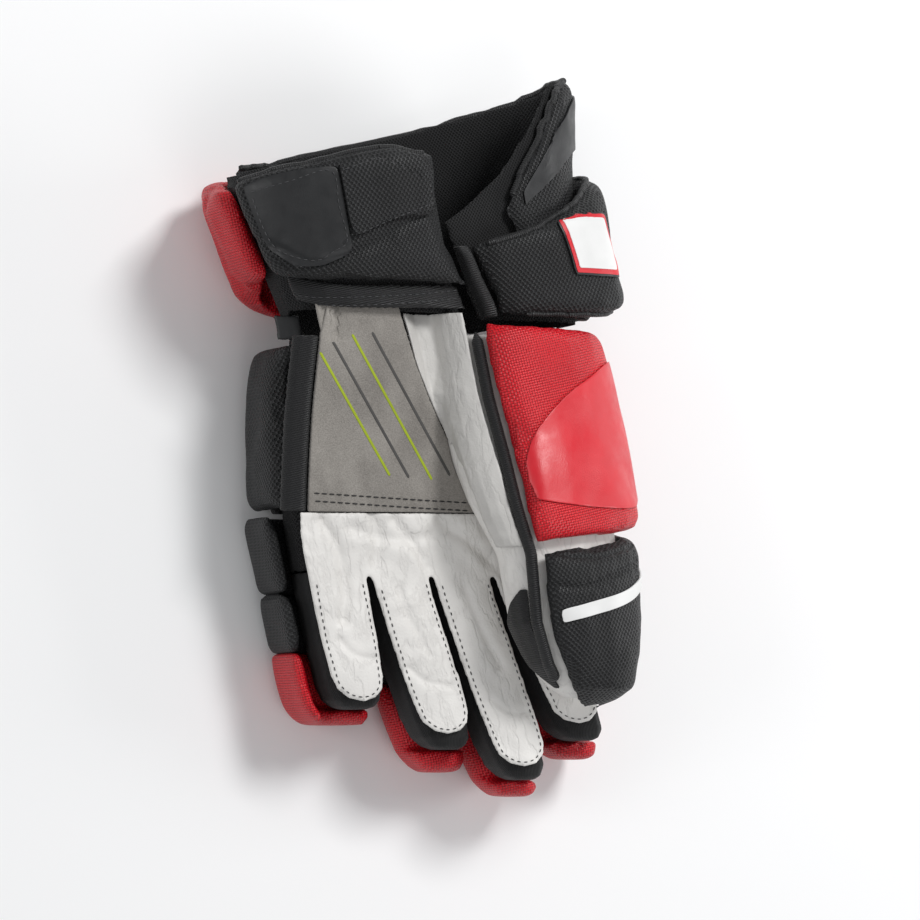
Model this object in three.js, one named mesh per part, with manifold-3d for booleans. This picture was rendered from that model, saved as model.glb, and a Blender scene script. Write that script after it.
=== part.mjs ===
// Ice hockey glove for the left hand, resting on its padded back, palm up.
// Millimetres, +Z up, fingers towards -Y, cuff towards +Y, thumb towards +X.
import * as THREE from 'three';
import { mergeVertices } from 'three/addons/utils/BufferGeometryUtils.js';
import Module from 'manifold-3d';

// Named sizes. The tables below hold shares of the first three.
const palmWidth = 107;
const palmLength = 100;
const cuffHeight = 100;
// Each step to the thumb side moves a point this much towards the fingers.
const wristSlant = 0.234;
// Finger ends rise from the floor, from this line on, by this much at the far end.
const curlStart = -1.0;
const curlEnd = -1.8;
const curlRise = 7;
// Walls, pads and clearances.
const gap = 0.4;
const clothWall = 2;
const leatherWall = 1.8;
const suedeWall = 2;
const patchThickness = 1.4;
// Pads over a curved shell stand off by this much more, for the flats of both.
const curveRoom = 0.8;
const thumbRoom = 1.5;
const gripRoom = 0.9;
const overlayLift = 1;
const sleeveWall = 2;
const thumbWall = 2;
const palmPadThickness = 10.5;
const backPadThickness = 8;
const rollThickness = 13;
const sidePadThickness = 11;
const thumbPadThickness = 11;
const thumbTipThickness = 9;
const rollUnder = backPadThickness + 2 * (gap + curveRoom);
const bindingThickness = 3;
const tapeThickness = 2.6;
const pipingRadius = 2.6;
const padDepth = 0.241 * cuffHeight;
const padRounding = 9;
const slitRadius = 1.5;
const degree = Math.PI / 180;

const material = {
  mesh: { color: 0x1f2022, roughness: 0.8, metalness: 0 },
  lining: { color: 0x18191b, roughness: 0.9, metalness: 0 },
  stretch: { color: 0x101011, roughness: 0.9, metalness: 0 },
  satin: { color: 0x242527, roughness: 0.4, metalness: 0 },
  tape: { color: 0x2b2b2d, roughness: 0.7, metalness: 0 },
  redWeave: { color: 0xb81226, roughness: 0.55, metalness: 0 },
  redSatin: { color: 0xc8404c, roughness: 0.4, metalness: 0 },
  white: { color: 0xe6e2dc, roughness: 0.6, metalness: 0 },
  suede: { color: 0x8f8a84, roughness: 0.95, metalness: 0 },
  paleLeather: { color: 0xcfcbc6, roughness: 0.65, metalness: 0 },
};

// Cuff opening, wrist to rim: the lining's outer face.
const cuffRows = [
  { along: 1.95, centre: 0.16, level: 0.58, halfWide: 0.91, halfHigh: 0.38, square: 2.3, tilt: 0 },
  { along: 1.50, centre: 0.15, level: 0.56, halfWide: 0.83, halfHigh: 0.35, square: 2.4, tilt: 0 },
  { along: 1.20, centre: 0.15, level: 0.55, halfWide: 0.77, halfHigh: 0.32, square: 2.6, tilt: 0 },
  { along: 0.85, centre: 0.18, level: 0.53, halfWide: 0.72, halfHigh: 0.30, square: 3.1, tilt: 0 },
  { along: 0.54, centre: 0.21, level: 0.52, halfWide: 0.69, halfHigh: 0.29, square: 3.8, tilt: 0 },
];

// Hand shell, wrist to finger roots.
const handRows = [
  { along: 0.535, centre: 0.015, level: 0.495, halfWide: 0.485, halfHigh: 0.245, square: 3.6, tilt: 0 },
  { along: 0.20, centre: -0.030, level: 0.455, halfWide: 0.530, halfHigh: 0.210, square: 3.8, tilt: 0 },
  { along: -0.15, centre: -0.070, level: 0.430, halfWide: 0.570, halfHigh: 0.185, square: 4, tilt: 0 },
  { along: -0.40, centre: -0.095, level: 0.418, halfWide: 0.595, halfHigh: 0.172, square: 4, tilt: 0 },
  { along: -0.675, centre: -0.115, level: 0.412, halfWide: 0.595, halfHigh: 0.168, square: 4, tilt: 0 },
];

// Thumb shell, wrist to tip; floor keeps it above the index finger.
const thumbRows = [
  { along: 0.535, centre: 0.51, level: 0.58, halfWide: 0.34, halfHigh: 0.31, square: 2.3, tilt: -12, floor: 0.24 },
  { along: 0.20, centre: 0.485, level: 0.61, halfWide: 0.385, halfHigh: 0.30, square: 2.3, tilt: -18, floor: 0.24 },
  { along: -0.10, centre: 0.47, level: 0.66, halfWide: 0.39, halfHigh: 0.28, square: 2.3, tilt: -22, floor: 0.30 },
  { along: -0.32, centre: 0.45, level: 0.74, halfWide: 0.37, halfHigh: 0.25, square: 2.3, tilt: -22, floor: 0.50 },
  { along: -0.37, centre: 0.45, level: 0.76, halfWide: 0.36, halfHigh: 0.24, square: 2.3, tilt: -20, floor: 0.63 },
  { along: -0.60, centre: 0.45, level: 0.82, halfWide: 0.31, halfHigh: 0.20, square: 2.3, tilt: -18, floor: 0.63 },
  { along: -0.95, centre: 0.405, level: 0.83, halfWide: 0.275, halfHigh: 0.185, square: 2.3, tilt: -14, floor: 0.63 },
  { along: -1.16, centre: 0.41, level: 0.81, halfWide: 0.215, halfHigh: 0.16, square: 2.3, tilt: -10, floor: 0.63 },
  { along: -1.28, centre: 0.425, level: 0.79, halfWide: 0.15, halfHigh: 0.12, square: 2.3, tilt: -6, floor: 0.64 },
  { along: -1.33, centre: 0.43, level: 0.78, halfWide: 0.09, halfHigh: 0.06, square: 2.3, tilt: 0, floor: 0.66 },
  { along: -1.39, centre: 0.43, level: 0.77, halfWide: 0.02, halfHigh: 0.01, square: 2.3, tilt: 0, floor: 0.66 },
];

// Height of the palm's panels along the glove, and the seam between suede and thumb web.
const palmRows = [
  { along: 0.67, level: 0.76 },
  { along: 0.40, level: 0.715 },
  { along: 0.10, level: 0.665 },
  { along: -0.20, level: 0.628 },
  { along: -0.40, level: 0.600 },
  { along: -0.66, level: 0.586 },
  { along: -1.80, level: 0.586 },
];
const seamRows = [
  { along: 0.67, across: -0.034 },
  { along: 0.60, across: -0.024 },
  { along: 0.33, across: 0.010 },
  { along: 0.10, across: 0.070 },
  { along: -0.10, across: 0.125 },
  { along: -0.37, across: 0.180 },
  { along: -0.56, across: 0.215 },
];
const suedeEnd = -0.37;
const suedeTop = 0.67;
const leatherTop = -0.375;
const leatherRight = 0.47;

// Fingers. Each starts at fingerRoot; tip is the sleeve's end, strip the leather's end,
// and the three numbers after it end the padded blocks on the back.
const fingerRoot = -0.68;
const slitTop = -0.70;
const knuckleTop = -0.385;
const sleeveHalf = 0.142;
const sleeveLevel = 0.412;
const sleeveHalfHigh = 0.168;
const stripHalf = 0.134;
const stripEndHalf = 0.124;
const blockHalf = 0.142;
const fingers = [
  { name: 'index', root: 0.335, end: 0.48, tip: -1.55, strip: -1.46, knuckle: -0.80, middle: -1.22, pad: -1.64 },
  { name: 'middle', root: 0.037, end: 0.14, tip: -1.75, strip: -1.68, knuckle: -0.80, middle: -1.32, pad: -1.83 },
  { name: 'ring', root: -0.262, end: -0.19, tip: -1.59, strip: -1.51, knuckle: -0.80, middle: -1.24, pad: -1.70 },
  { name: 'pinky', root: -0.56, end: -0.58, tip: -1.38, strip: -1.34, knuckle: -0.78, middle: -1.08, pad: -1.45 },
];
// Fingertip taper of a sleeve: share of its length, share of its size.
const sleeveTaper = [
  { length: 0, size: 1 },
  { length: 0.45, size: 1 },
  { length: 0.82, size: 0.97 },
  { length: 0.93, size: 0.86 },
  { length: 0.98, size: 0.64 },
  { length: 1, size: 0.38 },
];
// The little finger's blocks also cover its outer side.
const pinkySideReach = 0.10;
const pinkySideTop = 0.50;
const tipClear = 0.006;
const tipRounding = 0.16;
const tipRoundness = 0.75;

// Rolls on the back of the hand, wrist to knuckles.
const backhandPads = [
  { name: 'backhand_pad_upper', high: 0.50, low: 0.235, right: 0.60 },
  { name: 'backhand_pad_middle', high: 0.22, low: -0.065, right: 0.60 },
  { name: 'backhand_pad_lower', high: -0.08, low: -0.37, right: 0.58 },
];

// A design point in millimetres becomes a point of the model.
function place(across, along, up) {
  const reach = (curlStart * palmLength - along) / ((curlStart - curlEnd) * palmLength);
  const lift = curlRise * Math.max(0, reach) ** 2;
  return new THREE.Vector3(across, along - wristSlant * across, Math.max(0, up) + lift);
}

function mix(low, high, share) {
  return low + (high - low) * share;
}

// Value of a list whose entries stand at even spacing from 0 to 1.
function listAt(list, share) {
  if (typeof list === 'number') return list;
  const spot = share * (list.length - 1);
  const index = Math.min(list.length - 2, Math.floor(spot));
  return mix(list[index], list[index + 1], spot - index);
}

// Row of a table at one position along the glove; the rows run from cuff to fingers.
function rowAt(table, along) {
  let index = 0;
  while (index < table.length - 2 && table[index + 1].along > along) index += 1;
  const from = table[index];
  const to = table[index + 1];
  const share = THREE.MathUtils.clamp((along - from.along) / (to.along - from.along), 0, 1);
  const row = {};
  for (const key of Object.keys(from)) row[key] = mix(from[key], to[key], share);
  row.along = along;
  return row;
}

// Point on a section's rounded outline, pushed out by some millimetres.
function sectionPoint(row, angle, out) {
  const power = 2 / row.square;
  const cos = Math.cos(angle * degree);
  const sin = Math.sin(angle * degree);
  const wide = Math.sign(cos) * Math.abs(cos) ** power * (row.halfWide * palmWidth + out);
  const high = Math.sign(sin) * Math.abs(sin) ** power * (row.halfHigh * cuffHeight + out);
  const turn = row.tilt * degree;
  const across = row.centre * palmWidth + wide * Math.cos(turn) - high * Math.sin(turn);
  const up = row.level * cuffHeight + wide * Math.sin(turn) + high * Math.cos(turn);
  return { across, up };
}

function palmLevel(along) {
  return rowAt(palmRows, along / palmLength).level * cuffHeight;
}

function handLeft(along) {
  const row = rowAt(handRows, along / palmLength);
  return (row.centre - row.halfWide) * palmWidth;
}

// Closed geometry from points and triangles, turned so that its faces look outwards.
function closedGeometry(points, triangles) {
  let volume = 0;
  const cross = new THREE.Vector3();
  for (const [a, b, c] of triangles) volume += points[a].dot(cross.crossVectors(points[b], points[c]));
  const geometry = new THREE.BufferGeometry().setFromPoints(points);
  geometry.setIndex(triangles.flatMap(([a, b, c]) => (volume > 0 ? [a, b, c] : [a, c, b])));
  return geometry;
}

// Joins rings of equal length; both ends are closed by a point.
function loftRings(rings, firstPoint, lastPoint) {
  const count = rings[0].length;
  const points = rings.flat();
  const triangles = [];
  for (let ring = 0; ring < rings.length - 1; ring += 1) {
    for (let side = 0; side < count; side += 1) {
      const next = (side + 1) % count;
      const a = ring * count + side;
      const b = ring * count + next;
      triangles.push([a, b, b + count], [a, b + count, a + count]);
    }
  }
  const first = points.push(firstPoint) - 1;
  const last = points.push(lastPoint) - 1;
  const lastRing = (rings.length - 1) * count;
  for (let side = 0; side < count; side += 1) {
    const next = (side + 1) % count;
    triangles.push([first, next, side], [last, lastRing + side, lastRing + next]);
  }
  return closedGeometry(points, triangles);
}

function ringCentre(ring) {
  const centre = new THREE.Vector3();
  for (const point of ring) centre.add(point);
  return centre.divideScalar(ring.length);
}

function loftSolid(rings) {
  return loftRings(rings, ringCentre(rings[0]), ringCentre(rings[rings.length - 1]));
}

// Loft through the rows of a table, pushed out or in by some millimetres.
function sectionLoft(table, sides, out) {
  const rings = table.map((row) => {
    const ring = [];
    for (let side = 0; side < sides; side += 1) {
      const spot = sectionPoint(row, (side / sides) * 360, out);
      const lowest = row.floor === undefined ? 0 : row.floor * cuffHeight - out;
      ring.push(place(spot.across, row.along * palmLength, Math.max(lowest, spot.up)));
    }
    return ring;
  });
  return loftSolid(rings);
}

// Positions from 0 to 1, closer together at both ends.
function edgeSteps(inner, ramp, fine = true) {
  const steps = fine ? [0, ramp * 0.35, ramp] : [0, ramp];
  for (let step = 1; step < inner; step += 1) steps.push(mix(ramp, 1 - ramp, step / inner));
  steps.push(1 - ramp);
  if (fine) steps.push(1 - ramp * 0.35);
  steps.push(1);
  return steps;
}

// Share of the full thickness at a border distance, round like a stuffed edge.
function swell(share, ramp) {
  const border = Math.min(share, 1 - share) / ramp;
  return Math.sqrt(1 - (1 - Math.min(1, border)) ** 2);
}

// Padded panel on a grid: point(u, v, share) runs from its inner to its outer face.
function padPatch(point, us, vs) {
  const points = [];
  for (const share of [0, 1]) for (const v of vs) for (const u of us) points.push(point(u, v, share));
  const columns = us.length;
  const layer = columns * vs.length;
  const triangles = [];
  for (let j = 0; j < vs.length - 1; j += 1) {
    for (let i = 0; i < columns - 1; i += 1) {
      const a = j * columns + i;
      const quad = [a, a + 1, a + 1 + columns, a + columns];
      triangles.push([quad[0], quad[2], quad[1]], [quad[0], quad[3], quad[2]]);
      const top = quad.map((index) => index + layer);
      triangles.push([top[0], top[1], top[2]], [top[0], top[2], top[3]]);
    }
  }
  const border = [];
  for (let i = 0; i < columns - 1; i += 1) border.push(i);
  for (let j = 0; j < vs.length - 1; j += 1) border.push(j * columns + columns - 1);
  for (let i = columns - 1; i > 0; i -= 1) border.push((vs.length - 1) * columns + i);
  for (let j = vs.length - 1; j > 0; j -= 1) border.push(j * columns);
  for (let k = 0; k < border.length; k += 1) {
    const a = border[k];
    const b = border[(k + 1) % border.length];
    triangles.push([a, b, b + layer], [a, b + layer, a + layer]);
  }
  return closedGeometry(points, triangles);
}

// Pad wrapped round a section table between two angles and two positions.
function wrapPad(table, spec) {
  const ramp = spec.ramp ?? [0.12, 0.16];
  const rim = spec.rim ?? 0.3;
  const us = edgeSteps(spec.columns, ramp[0], !spec.thin);
  const vs = edgeSteps(spec.rows, ramp[1], !spec.thin);
  return padPatch((u, v, share) => {
    const angle = mix(listAt(spec.from, v), listAt(spec.to, v), u);
    const along = mix(listAt(spec.low, u), listAt(spec.high, u), v);
    const fill = mix(rim, 1, swell(u, ramp[0]) * swell(v, ramp[1]));
    const out = listAt(spec.under, u) + share * listAt(spec.thickness, u) * fill;
    const spot = sectionPoint(rowAt(table, along), angle, out);
    return place(spot.across, along * palmLength, spot.up);
  }, us, vs);
}

// Padded block under the hand, flat on top and flat where it rests.
function floorBlock(spec) {
  const us = edgeSteps(spec.columns ?? 1, padRounding / ((spec.right(0) - spec.left(0)) * palmWidth));
  const length = (spec.high - spec.low) * palmLength;
  const ramp = padRounding / length;
  const vs = edgeSteps(spec.rows ?? 1, ramp);
  for (const along of spec.steps ?? []) vs.push((along - spec.low) / (spec.high - spec.low));
  vs.sort((a, b) => a - b);
  return padPatch((u, v, share) => {
    const along = mix(spec.low, spec.high, v);
    const left = spec.left(along) * palmWidth;
    const right = spec.right(along) * palmWidth;
    const fill = swell(u, padRounding / (right - left)) * swell(v, ramp);
    const top = spec.top ? spec.top(mix(left, right, u), along) : padDepth;
    const low = mix(0.45 * padDepth, 0, fill);
    const high = top - mix(0.25 * padDepth, 0, fill);
    return place(mix(left, right, u), along * palmLength, mix(low, high, 1 - share));
  }, us, vs);
}

const wasm = await Module();
wasm.setup();

function toManifold(geometry) {
  const bare = new THREE.BufferGeometry();
  bare.setAttribute('position', geometry.getAttribute('position'));
  if (geometry.index) bare.setIndex(geometry.index);
  const merged = mergeVertices(bare, 1e-4);
  const vertProperties = new Float32Array(merged.getAttribute('position').array);
  const triVerts = new Uint32Array(merged.index.array);
  return new wasm.Manifold(new wasm.Mesh({ numProp: 3, vertProperties, triVerts }));
}

// The largest body of a cut solid.
function mainBody(solid) {
  const bodies = solid.decompose();
  return bodies.reduce((best, body) => (body.volume() > best.volume() ? body : best));
}

function fromManifold(solid) {
  const mesh = solid.getMesh();
  const geometry = new THREE.BufferGeometry();
  geometry.setAttribute('position', new THREE.BufferAttribute(new Float32Array(mesh.vertProperties), 3));
  geometry.setIndex(new THREE.BufferAttribute(new Uint32Array(mesh.triVerts), 1));
  return geometry;
}

// Upright prism over an outline given in millimetres across and along.
function prism(outline, low, high) {
  const lower = outline.map(([across, along]) => new THREE.Vector3(across, along - wristSlant * across, low));
  const upper = lower.map((point) => new THREE.Vector3(point.x, point.y, high));
  const flat = lower.map((point) => new THREE.Vector2(point.x, point.y));
  const faces = THREE.ShapeUtils.triangulateShape(flat, []);
  const count = outline.length;
  const triangles = [];
  for (const [a, b, c] of faces) triangles.push([a, c, b], [a + count, b + count, c + count]);
  for (let side = 0; side < count; side += 1) {
    const next = (side + 1) % count;
    triangles.push([side, next, next + count], [side, next + count, side + count]);
  }
  return closedGeometry([...lower, ...upper], triangles);
}

// Sheet of one thickness over the palm, cut to an outline.
function palmSheet(outline, lift, thickness, cell) {
  const acrossList = outline.map(([across]) => across);
  const alongList = outline.map(([, along]) => along);
  const box = {
    left: Math.min(...acrossList) - 1,
    right: Math.max(...acrossList) + 1,
    low: Math.min(...alongList) - 1,
    high: Math.max(...alongList) + 1,
  };
  const columns = 2;
  const rows = Math.ceil((box.high - box.low) / cell);
  const us = Array.from({ length: columns + 1 }, (_, index) => index / columns);
  const vs = Array.from({ length: rows + 1 }, (_, index) => index / rows);
  const slab = padPatch((u, v, share) => {
    const along = mix(box.low, box.high, v);
    return place(mix(box.left, box.right, u), along, palmLevel(along) + lift + share * thickness);
  }, us, vs);
  return toManifold(slab).intersect(toManifold(prism(outline, -1, cuffHeight * 2)));
}

const glove = new THREE.Group();
glove.name = 'ice_hockey_glove';

function addPiece(name, geometry, look) {
  const flat = geometry.index ? geometry.toNonIndexed() : geometry;
  flat.computeVertexNormals();
  const piece = new THREE.Mesh(flat, new THREE.MeshStandardMaterial(material[look]));
  piece.name = name;
  glove.add(piece);
}

// Shells of hand and thumb, open into each other and into the cuff.
const thumbShellRows = thumbRows.slice(0, -1);
const handOuter = toManifold(sectionLoft(handRows, 24, 0));
const thumbOuter = toManifold(sectionLoft(thumbShellRows, 20, 0));

// The same rows with one more past either end.
function longer(table, front, back) {
  const first = table[0];
  const last = table[table.length - 1];
  const before = back > 0 ? [{ ...first, along: first.along + back }] : [];
  const after = front > 0 ? [{ ...last, along: last.along - front }] : [];
  return [...before, ...table, ...after];
}

const endReach = 0.05;
const handInner = toManifold(sectionLoft(longer(handRows, endReach, endReach), 24, -clothWall));
const thumbInner = toManifold(sectionLoft(longer(thumbShellRows.slice(0, -1), 0, endReach), 20, -thumbWall));
const thumbAround = toManifold(sectionLoft(thumbShellRows, 20, gap));
const handAround = toManifold(sectionLoft(longer(handRows, gap / palmLength, endReach), 24, gap));

// The palm side of the hand shell is open; the palm's own panels close it.
const windowEdge = 0.07;
const windowTop = rowAt(handRows, 0.5);
const palmWindow = [
  [(windowTop.centre - windowTop.halfWide + windowEdge) * palmWidth, 0.50 * palmLength],
  [handLeft(-0.64 * palmLength) + windowEdge * palmWidth, -0.64 * palmLength],
  [(leatherRight - windowEdge) * palmWidth, -0.64 * palmLength],
  [(leatherRight - windowEdge) * palmWidth, 0.50 * palmLength],
];
const windowCut = toManifold(prism(palmWindow, sleeveLevel * cuffHeight, cuffHeight * 2));
const handShell = handOuter.subtract(handInner).subtract(thumbInner).subtract(windowCut);
addPiece('hand_liner', fromManifold(handShell), 'lining');
const thumbShell = thumbOuter.subtract(thumbInner).subtract(handAround);
addPiece('thumb_leather', fromManifold(thumbShell), 'white');

// Palm: suede, binding, leather with four strips, web up to the thumb.
function seamAcross(along) {
  return rowAt(seamRows, along / palmLength).across * palmWidth;
}

const bindingInner = 4.1;
// The suede narrows inside the cuff, in millimetres for each share along.
const cuffNarrowing = 60;
const bindingOuter = 8.5;
const suedeOutline = [];
const suedeSteps = 7;
for (let step = 0; step <= suedeSteps; step += 1) {
  const along = mix(suedeEnd, suedeTop, step / suedeSteps) * palmLength;
  suedeOutline.push([seamAcross(along) - gap, along]);
}
for (let step = suedeSteps; step >= 0; step -= 1) {
  const along = mix(suedeEnd, suedeTop, step / suedeSteps) * palmLength;
  const narrowing = cuffNarrowing * Math.max(0, along / palmLength - handRows[0].along);
  suedeOutline.push([handLeft(along) + bindingInner + 2 * gap + narrowing, along]);
}
const cuffOuter = toManifold(sectionLoft(longer(cuffRows, endReach, 0), 32, gap));
const cuffWall = cuffOuter.subtract(toManifold(sectionLoft(longer(cuffRows, 2 * endReach, endReach), 32, -clothWall - gap)));
const suede = palmSheet(suedeOutline, gap, suedeWall, 16).subtract(thumbAround).subtract(cuffWall);
addPiece('palm_suede', fromManifold(mainBody(suede)), 'suede');

addPiece('palm_binding', padPatch((u, v, share) => {
  const along = mix(suedeEnd, 0.52, v) * palmLength;
  const across = handLeft(along) + mix(-bindingOuter, bindingInner, u);
  const drop = 3 * (1 - u) ** 2;
  return place(across, along, palmLevel(along) + gap - drop + share * bindingThickness * mix(0.5, 1, swell(u, 0.3)));
}, edgeSteps(1, 0.25), edgeSteps(5, 0.04)), 'tape');

function fingerCentre(finger, along) {
  return mix(finger.root, finger.end, Math.max(0, (fingerRoot - along) / (fingerRoot - finger.tip)));
}

// Leather outline: top edge, then each strip from index to little finger.
function leatherOutline() {
  const outline = [];
  const endSteps = 6;
  outline.push([leatherRight, leatherTop]);
  fingers.forEach((finger, index) => {
    const right = index === 0 ? leatherRight + 0.005 : null;
    const shoulder = finger.strip + 0.30;
    if (right) outline.push([right, slitTop]);
    outline.push([fingerCentre(finger, shoulder) + stripHalf, shoulder]);
    for (let step = 0; step <= endSteps; step += 1) {
      const turn = (step / endSteps) * Math.PI;
      const centre = fingerCentre(finger, finger.strip + stripEndHalf);
      const reach = finger.strip + stripEndHalf * (1 - Math.sin(turn));
      outline.push([centre + stripEndHalf * Math.cos(turn), reach]);
    }
    outline.push([fingerCentre(finger, shoulder) - stripHalf, shoulder]);
    const next = fingers[index + 1];
    if (next) {
      const middle = (finger.root + next.root) / 2;
      const eye = slitRadius / palmWidth;
      outline.push([middle + eye, slitTop - 0.02]);
      outline.push([middle + eye * 0.6, slitTop]);
      outline.push([middle - eye * 0.6, slitTop]);
      outline.push([middle - eye, slitTop - 0.02]);
    } else {
      outline.push([fingerCentre(finger, slitTop) - stripHalf - 0.01, slitTop]);
    }
  });
  outline.push([handLeft(-0.5 * palmLength) / palmWidth, -0.5]);
  outline.push([handLeft(leatherTop * palmLength) / palmWidth + 0.01, leatherTop]);
  return outline.map(([across, along]) => [across * palmWidth, along * palmLength]);
}
const leather = palmSheet(leatherOutline().reverse(), gap, leatherWall, 12).subtract(thumbAround);
addPiece('palm_leather', fromManifold(mainBody(leather)), 'white');

const pipingAngle = 140;
const webTopAngle = 147;
const webTop = 0.50;
const web = padPatch((u, v, share) => {
  const along = mix(-0.56, webTop, v);
  const start = seamAcross(along * palmLength) + gap;
  const startUp = Math.max(palmLevel(along * palmLength), sleeveLevel * cuffHeight + 21) + gap;
  const angle = mix(200, webTopAngle, u);
  const spot = sectionPoint(rowAt(thumbRows, along), angle, gap + curveRoom + share * leatherWall);
  const blend = Math.min(1, u / 0.4);
  const across = mix(start, spot.across, blend);
  const up = mix(startUp + share * leatherWall, spot.up, blend);
  return place(across, along * palmLength, up);
}, [0, 0.2, 0.4, 0.6, 0.8, 1], [0, 0.15, 0.3, 0.45, 0.6, 0.75, 0.9, 1]);
addPiece('thumb_web', fromManifold(mainBody(toManifold(web).subtract(thumbAround))), 'paleLeather');

// Outer side pad: u runs up from the floor, v from the knuckles to the cuff.
const sidePad = { low: -0.365, high: 0.50, bottom: 0.05, top: 0.57 };
function sidePadPoint(u, v, out) {
  const along = mix(sidePad.low, sidePad.high, v) * palmLength;
  const up = mix(sidePad.bottom, sidePad.top, u) * cuffHeight;
  return place(handLeft(along) - gap - out, along, up);
}
function sidePadFill(u, v) {
  return sidePadThickness * mix(0.3, 1, swell(u, 0.3) * swell(v, 0.1));
}
addPiece('pinky_side_pad', padPatch((u, v, share) => {
  return sidePadPoint(u, v, share * sidePadFill(u, v));
}, edgeSteps(2, 0.25), edgeSteps(4, 0.1)), 'mesh');
// The label tab sticks out of the side seam between the pad and the cuff.
const tab = { low: 0.505, high: 0.63, tuck: 1.2, reach: 12, level: 0.60, droop: 3 };
addPiece('label_tab', padPatch((u, v, share) => {
  const along = mix(tab.low, tab.high, v) * palmLength;
  const up = tab.level * cuffHeight - tab.droop * u ** 2 + share * patchThickness;
  return place(handLeft(along) + tab.tuck - gap - u * tab.reach, along, up);
}, [0, 0.35, 0.7, 1], [0, 0.5, 1]), 'satin');

for (const pad of backhandPads) {
  addPiece(pad.name, floorBlock({
    low: pad.low,
    high: pad.high,
    left: (along) => handLeft(along * palmLength) / palmWidth + 0.01,
    right: () => pad.right,
    columns: 3,
  }), 'mesh');
}

// Fingers: hollow sleeve and three blocks on the back.
function sleeveRows(finger, wall) {
  return sleeveTaper.map(({ length, size }) => {
    const along = mix(fingerRoot, finger.tip + wall / palmLength, length);
    return {
      along: length === 0 && wall > 0 ? along + endReach : along,
      centre: fingerCentre(finger, along),
      level: sleeveLevel,
      halfWide: sleeveHalf * size - wall / palmWidth,
      halfHigh: sleeveHalfHigh * mix(1, size, 0.8) - wall / cuffHeight,
      square: 3.4,
      tilt: 0,
    };
  });
}

const sleeveSides = 12;
for (const finger of fingers) {
  const outer = toManifold(sectionLoft(sleeveRows(finger, 0), sleeveSides, 0));
  const inner = toManifold(sectionLoft(sleeveRows(finger, sleeveWall), sleeveSides, 0));
  addPiece(`${finger.name}_sleeve`, fromManifold(outer.subtract(inner)), 'stretch');
  const outerSide = finger.name === 'pinky' ? pinkySideReach : 0;
  const narrowing = (along) => {
    const share = Math.max(0, 1 - (along - finger.pad) / tipRounding);
    return blockHalf * (1 - Math.sqrt(1 - share ** 2 * tipRoundness));
  };
  const left = (along) => fingerCentre(finger, along) - blockHalf - outerSide + narrowing(along);
  const right = (along) => fingerCentre(finger, along) + blockHalf - narrowing(along);
  const sideTop = (across, along) => {
    const reachesUp = outerSide > 0 && across < (fingerCentre(finger, along) - sleeveHalf) * palmWidth - 3;
    return reachesUp ? pinkySideTop * cuffHeight : padDepth;
  };
  const columns = outerSide > 0 ? 6 : 1;
  const seams = [knuckleTop, finger.knuckle, finger.middle, finger.pad];
  ['knuckle', 'middle', 'tip'].forEach((part, index) => {
    const endRise = (across, along) => {
      const beyond = along < finger.tip - tipClear ? 0.36 * cuffHeight : 0;
      return Math.max(sideTop(across, along), part === 'tip' ? beyond : 0);
    };
    addPiece(`${finger.name}_${part}_pad`, floorBlock({
      low: seams[index + 1],
      high: seams[index] - 0.01,
      left,
      right,
      top: endRise,
      columns,
      rows: part === 'tip' ? 2 : 1,
      steps: part === 'tip' ? [finger.tip - tipClear, finger.tip - tipClear - 0.002] : [],
    }), part === 'tip' ? 'redWeave' : 'mesh');
  });
}

// Thumb pads, piping and patches.
const thumbSeam = -0.49;
const thumbSeamSlope = 0.08;
addPiece('thumb_outer_pad', wrapPad(thumbRows, {
  from: 134,
  to: -48,
  low: [thumbSeam - thumbSeamSlope, thumbSeam, thumbSeam + thumbSeamSlope],
  high: 0.585,
  under: gap + thumbRoom,
  thickness: [8, thumbPadThickness, thumbPadThickness, thumbPadThickness, 8],
  columns: 8,
  rows: 4,
  ramp: [0.08, 0.08],
}), 'redWeave');
addPiece('thumb_tip_pad', wrapPad(thumbRows, {
  from: [122, 130, 130],
  to: [-30, -40, -48],
  low: -1.385,
  high: [thumbSeam - thumbSeamSlope - 0.01, thumbSeam - 0.01, thumbSeam + thumbSeamSlope - 0.01],
  under: gap + thumbRoom,
  thickness: [7, thumbTipThickness, thumbTipThickness, thumbTipThickness, 7],
  columns: 8,
  rows: 4,
  ramp: [0.08, 0.12],
}), 'mesh');
addPiece('thumb_overlay', wrapPad(thumbRows, {
  from: [125, 129, 118],
  to: [8, 2, 16],
  low: [-0.32, -0.36, -0.37, -0.33, -0.16],
  high: [-0.02, 0.22, 0.36, 0.42, 0.42],
  under: gap + thumbRoom + thumbPadThickness + overlayLift,
  thickness: patchThickness,
  thin: true,
  columns: 5,
  rows: 3,
}), 'redSatin');
addPiece('thumb_stripe', wrapPad(thumbRows, {
  from: 116,
  to: -10,
  low: [-0.96, -0.87, -0.76, -0.64],
  high: [-0.89, -0.80, -0.69, -0.57],
  under: gap + thumbRoom + thumbTipThickness + overlayLift,
  thickness: patchThickness,
  thin: true,
  columns: 6,
  rows: 1,
  ramp: [0.08, 0.3],
}), 'white');
addPiece('thumb_grip', wrapPad(thumbRows, {
  from: [151, 152, 151],
  to: [160, 196, 202, 196, 160],
  low: -1.28,
  high: -0.78,
  under: gap + gripRoom,
  thickness: patchThickness,
  thin: true,
  columns: 2,
  rows: 4,
}), 'tape');

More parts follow.
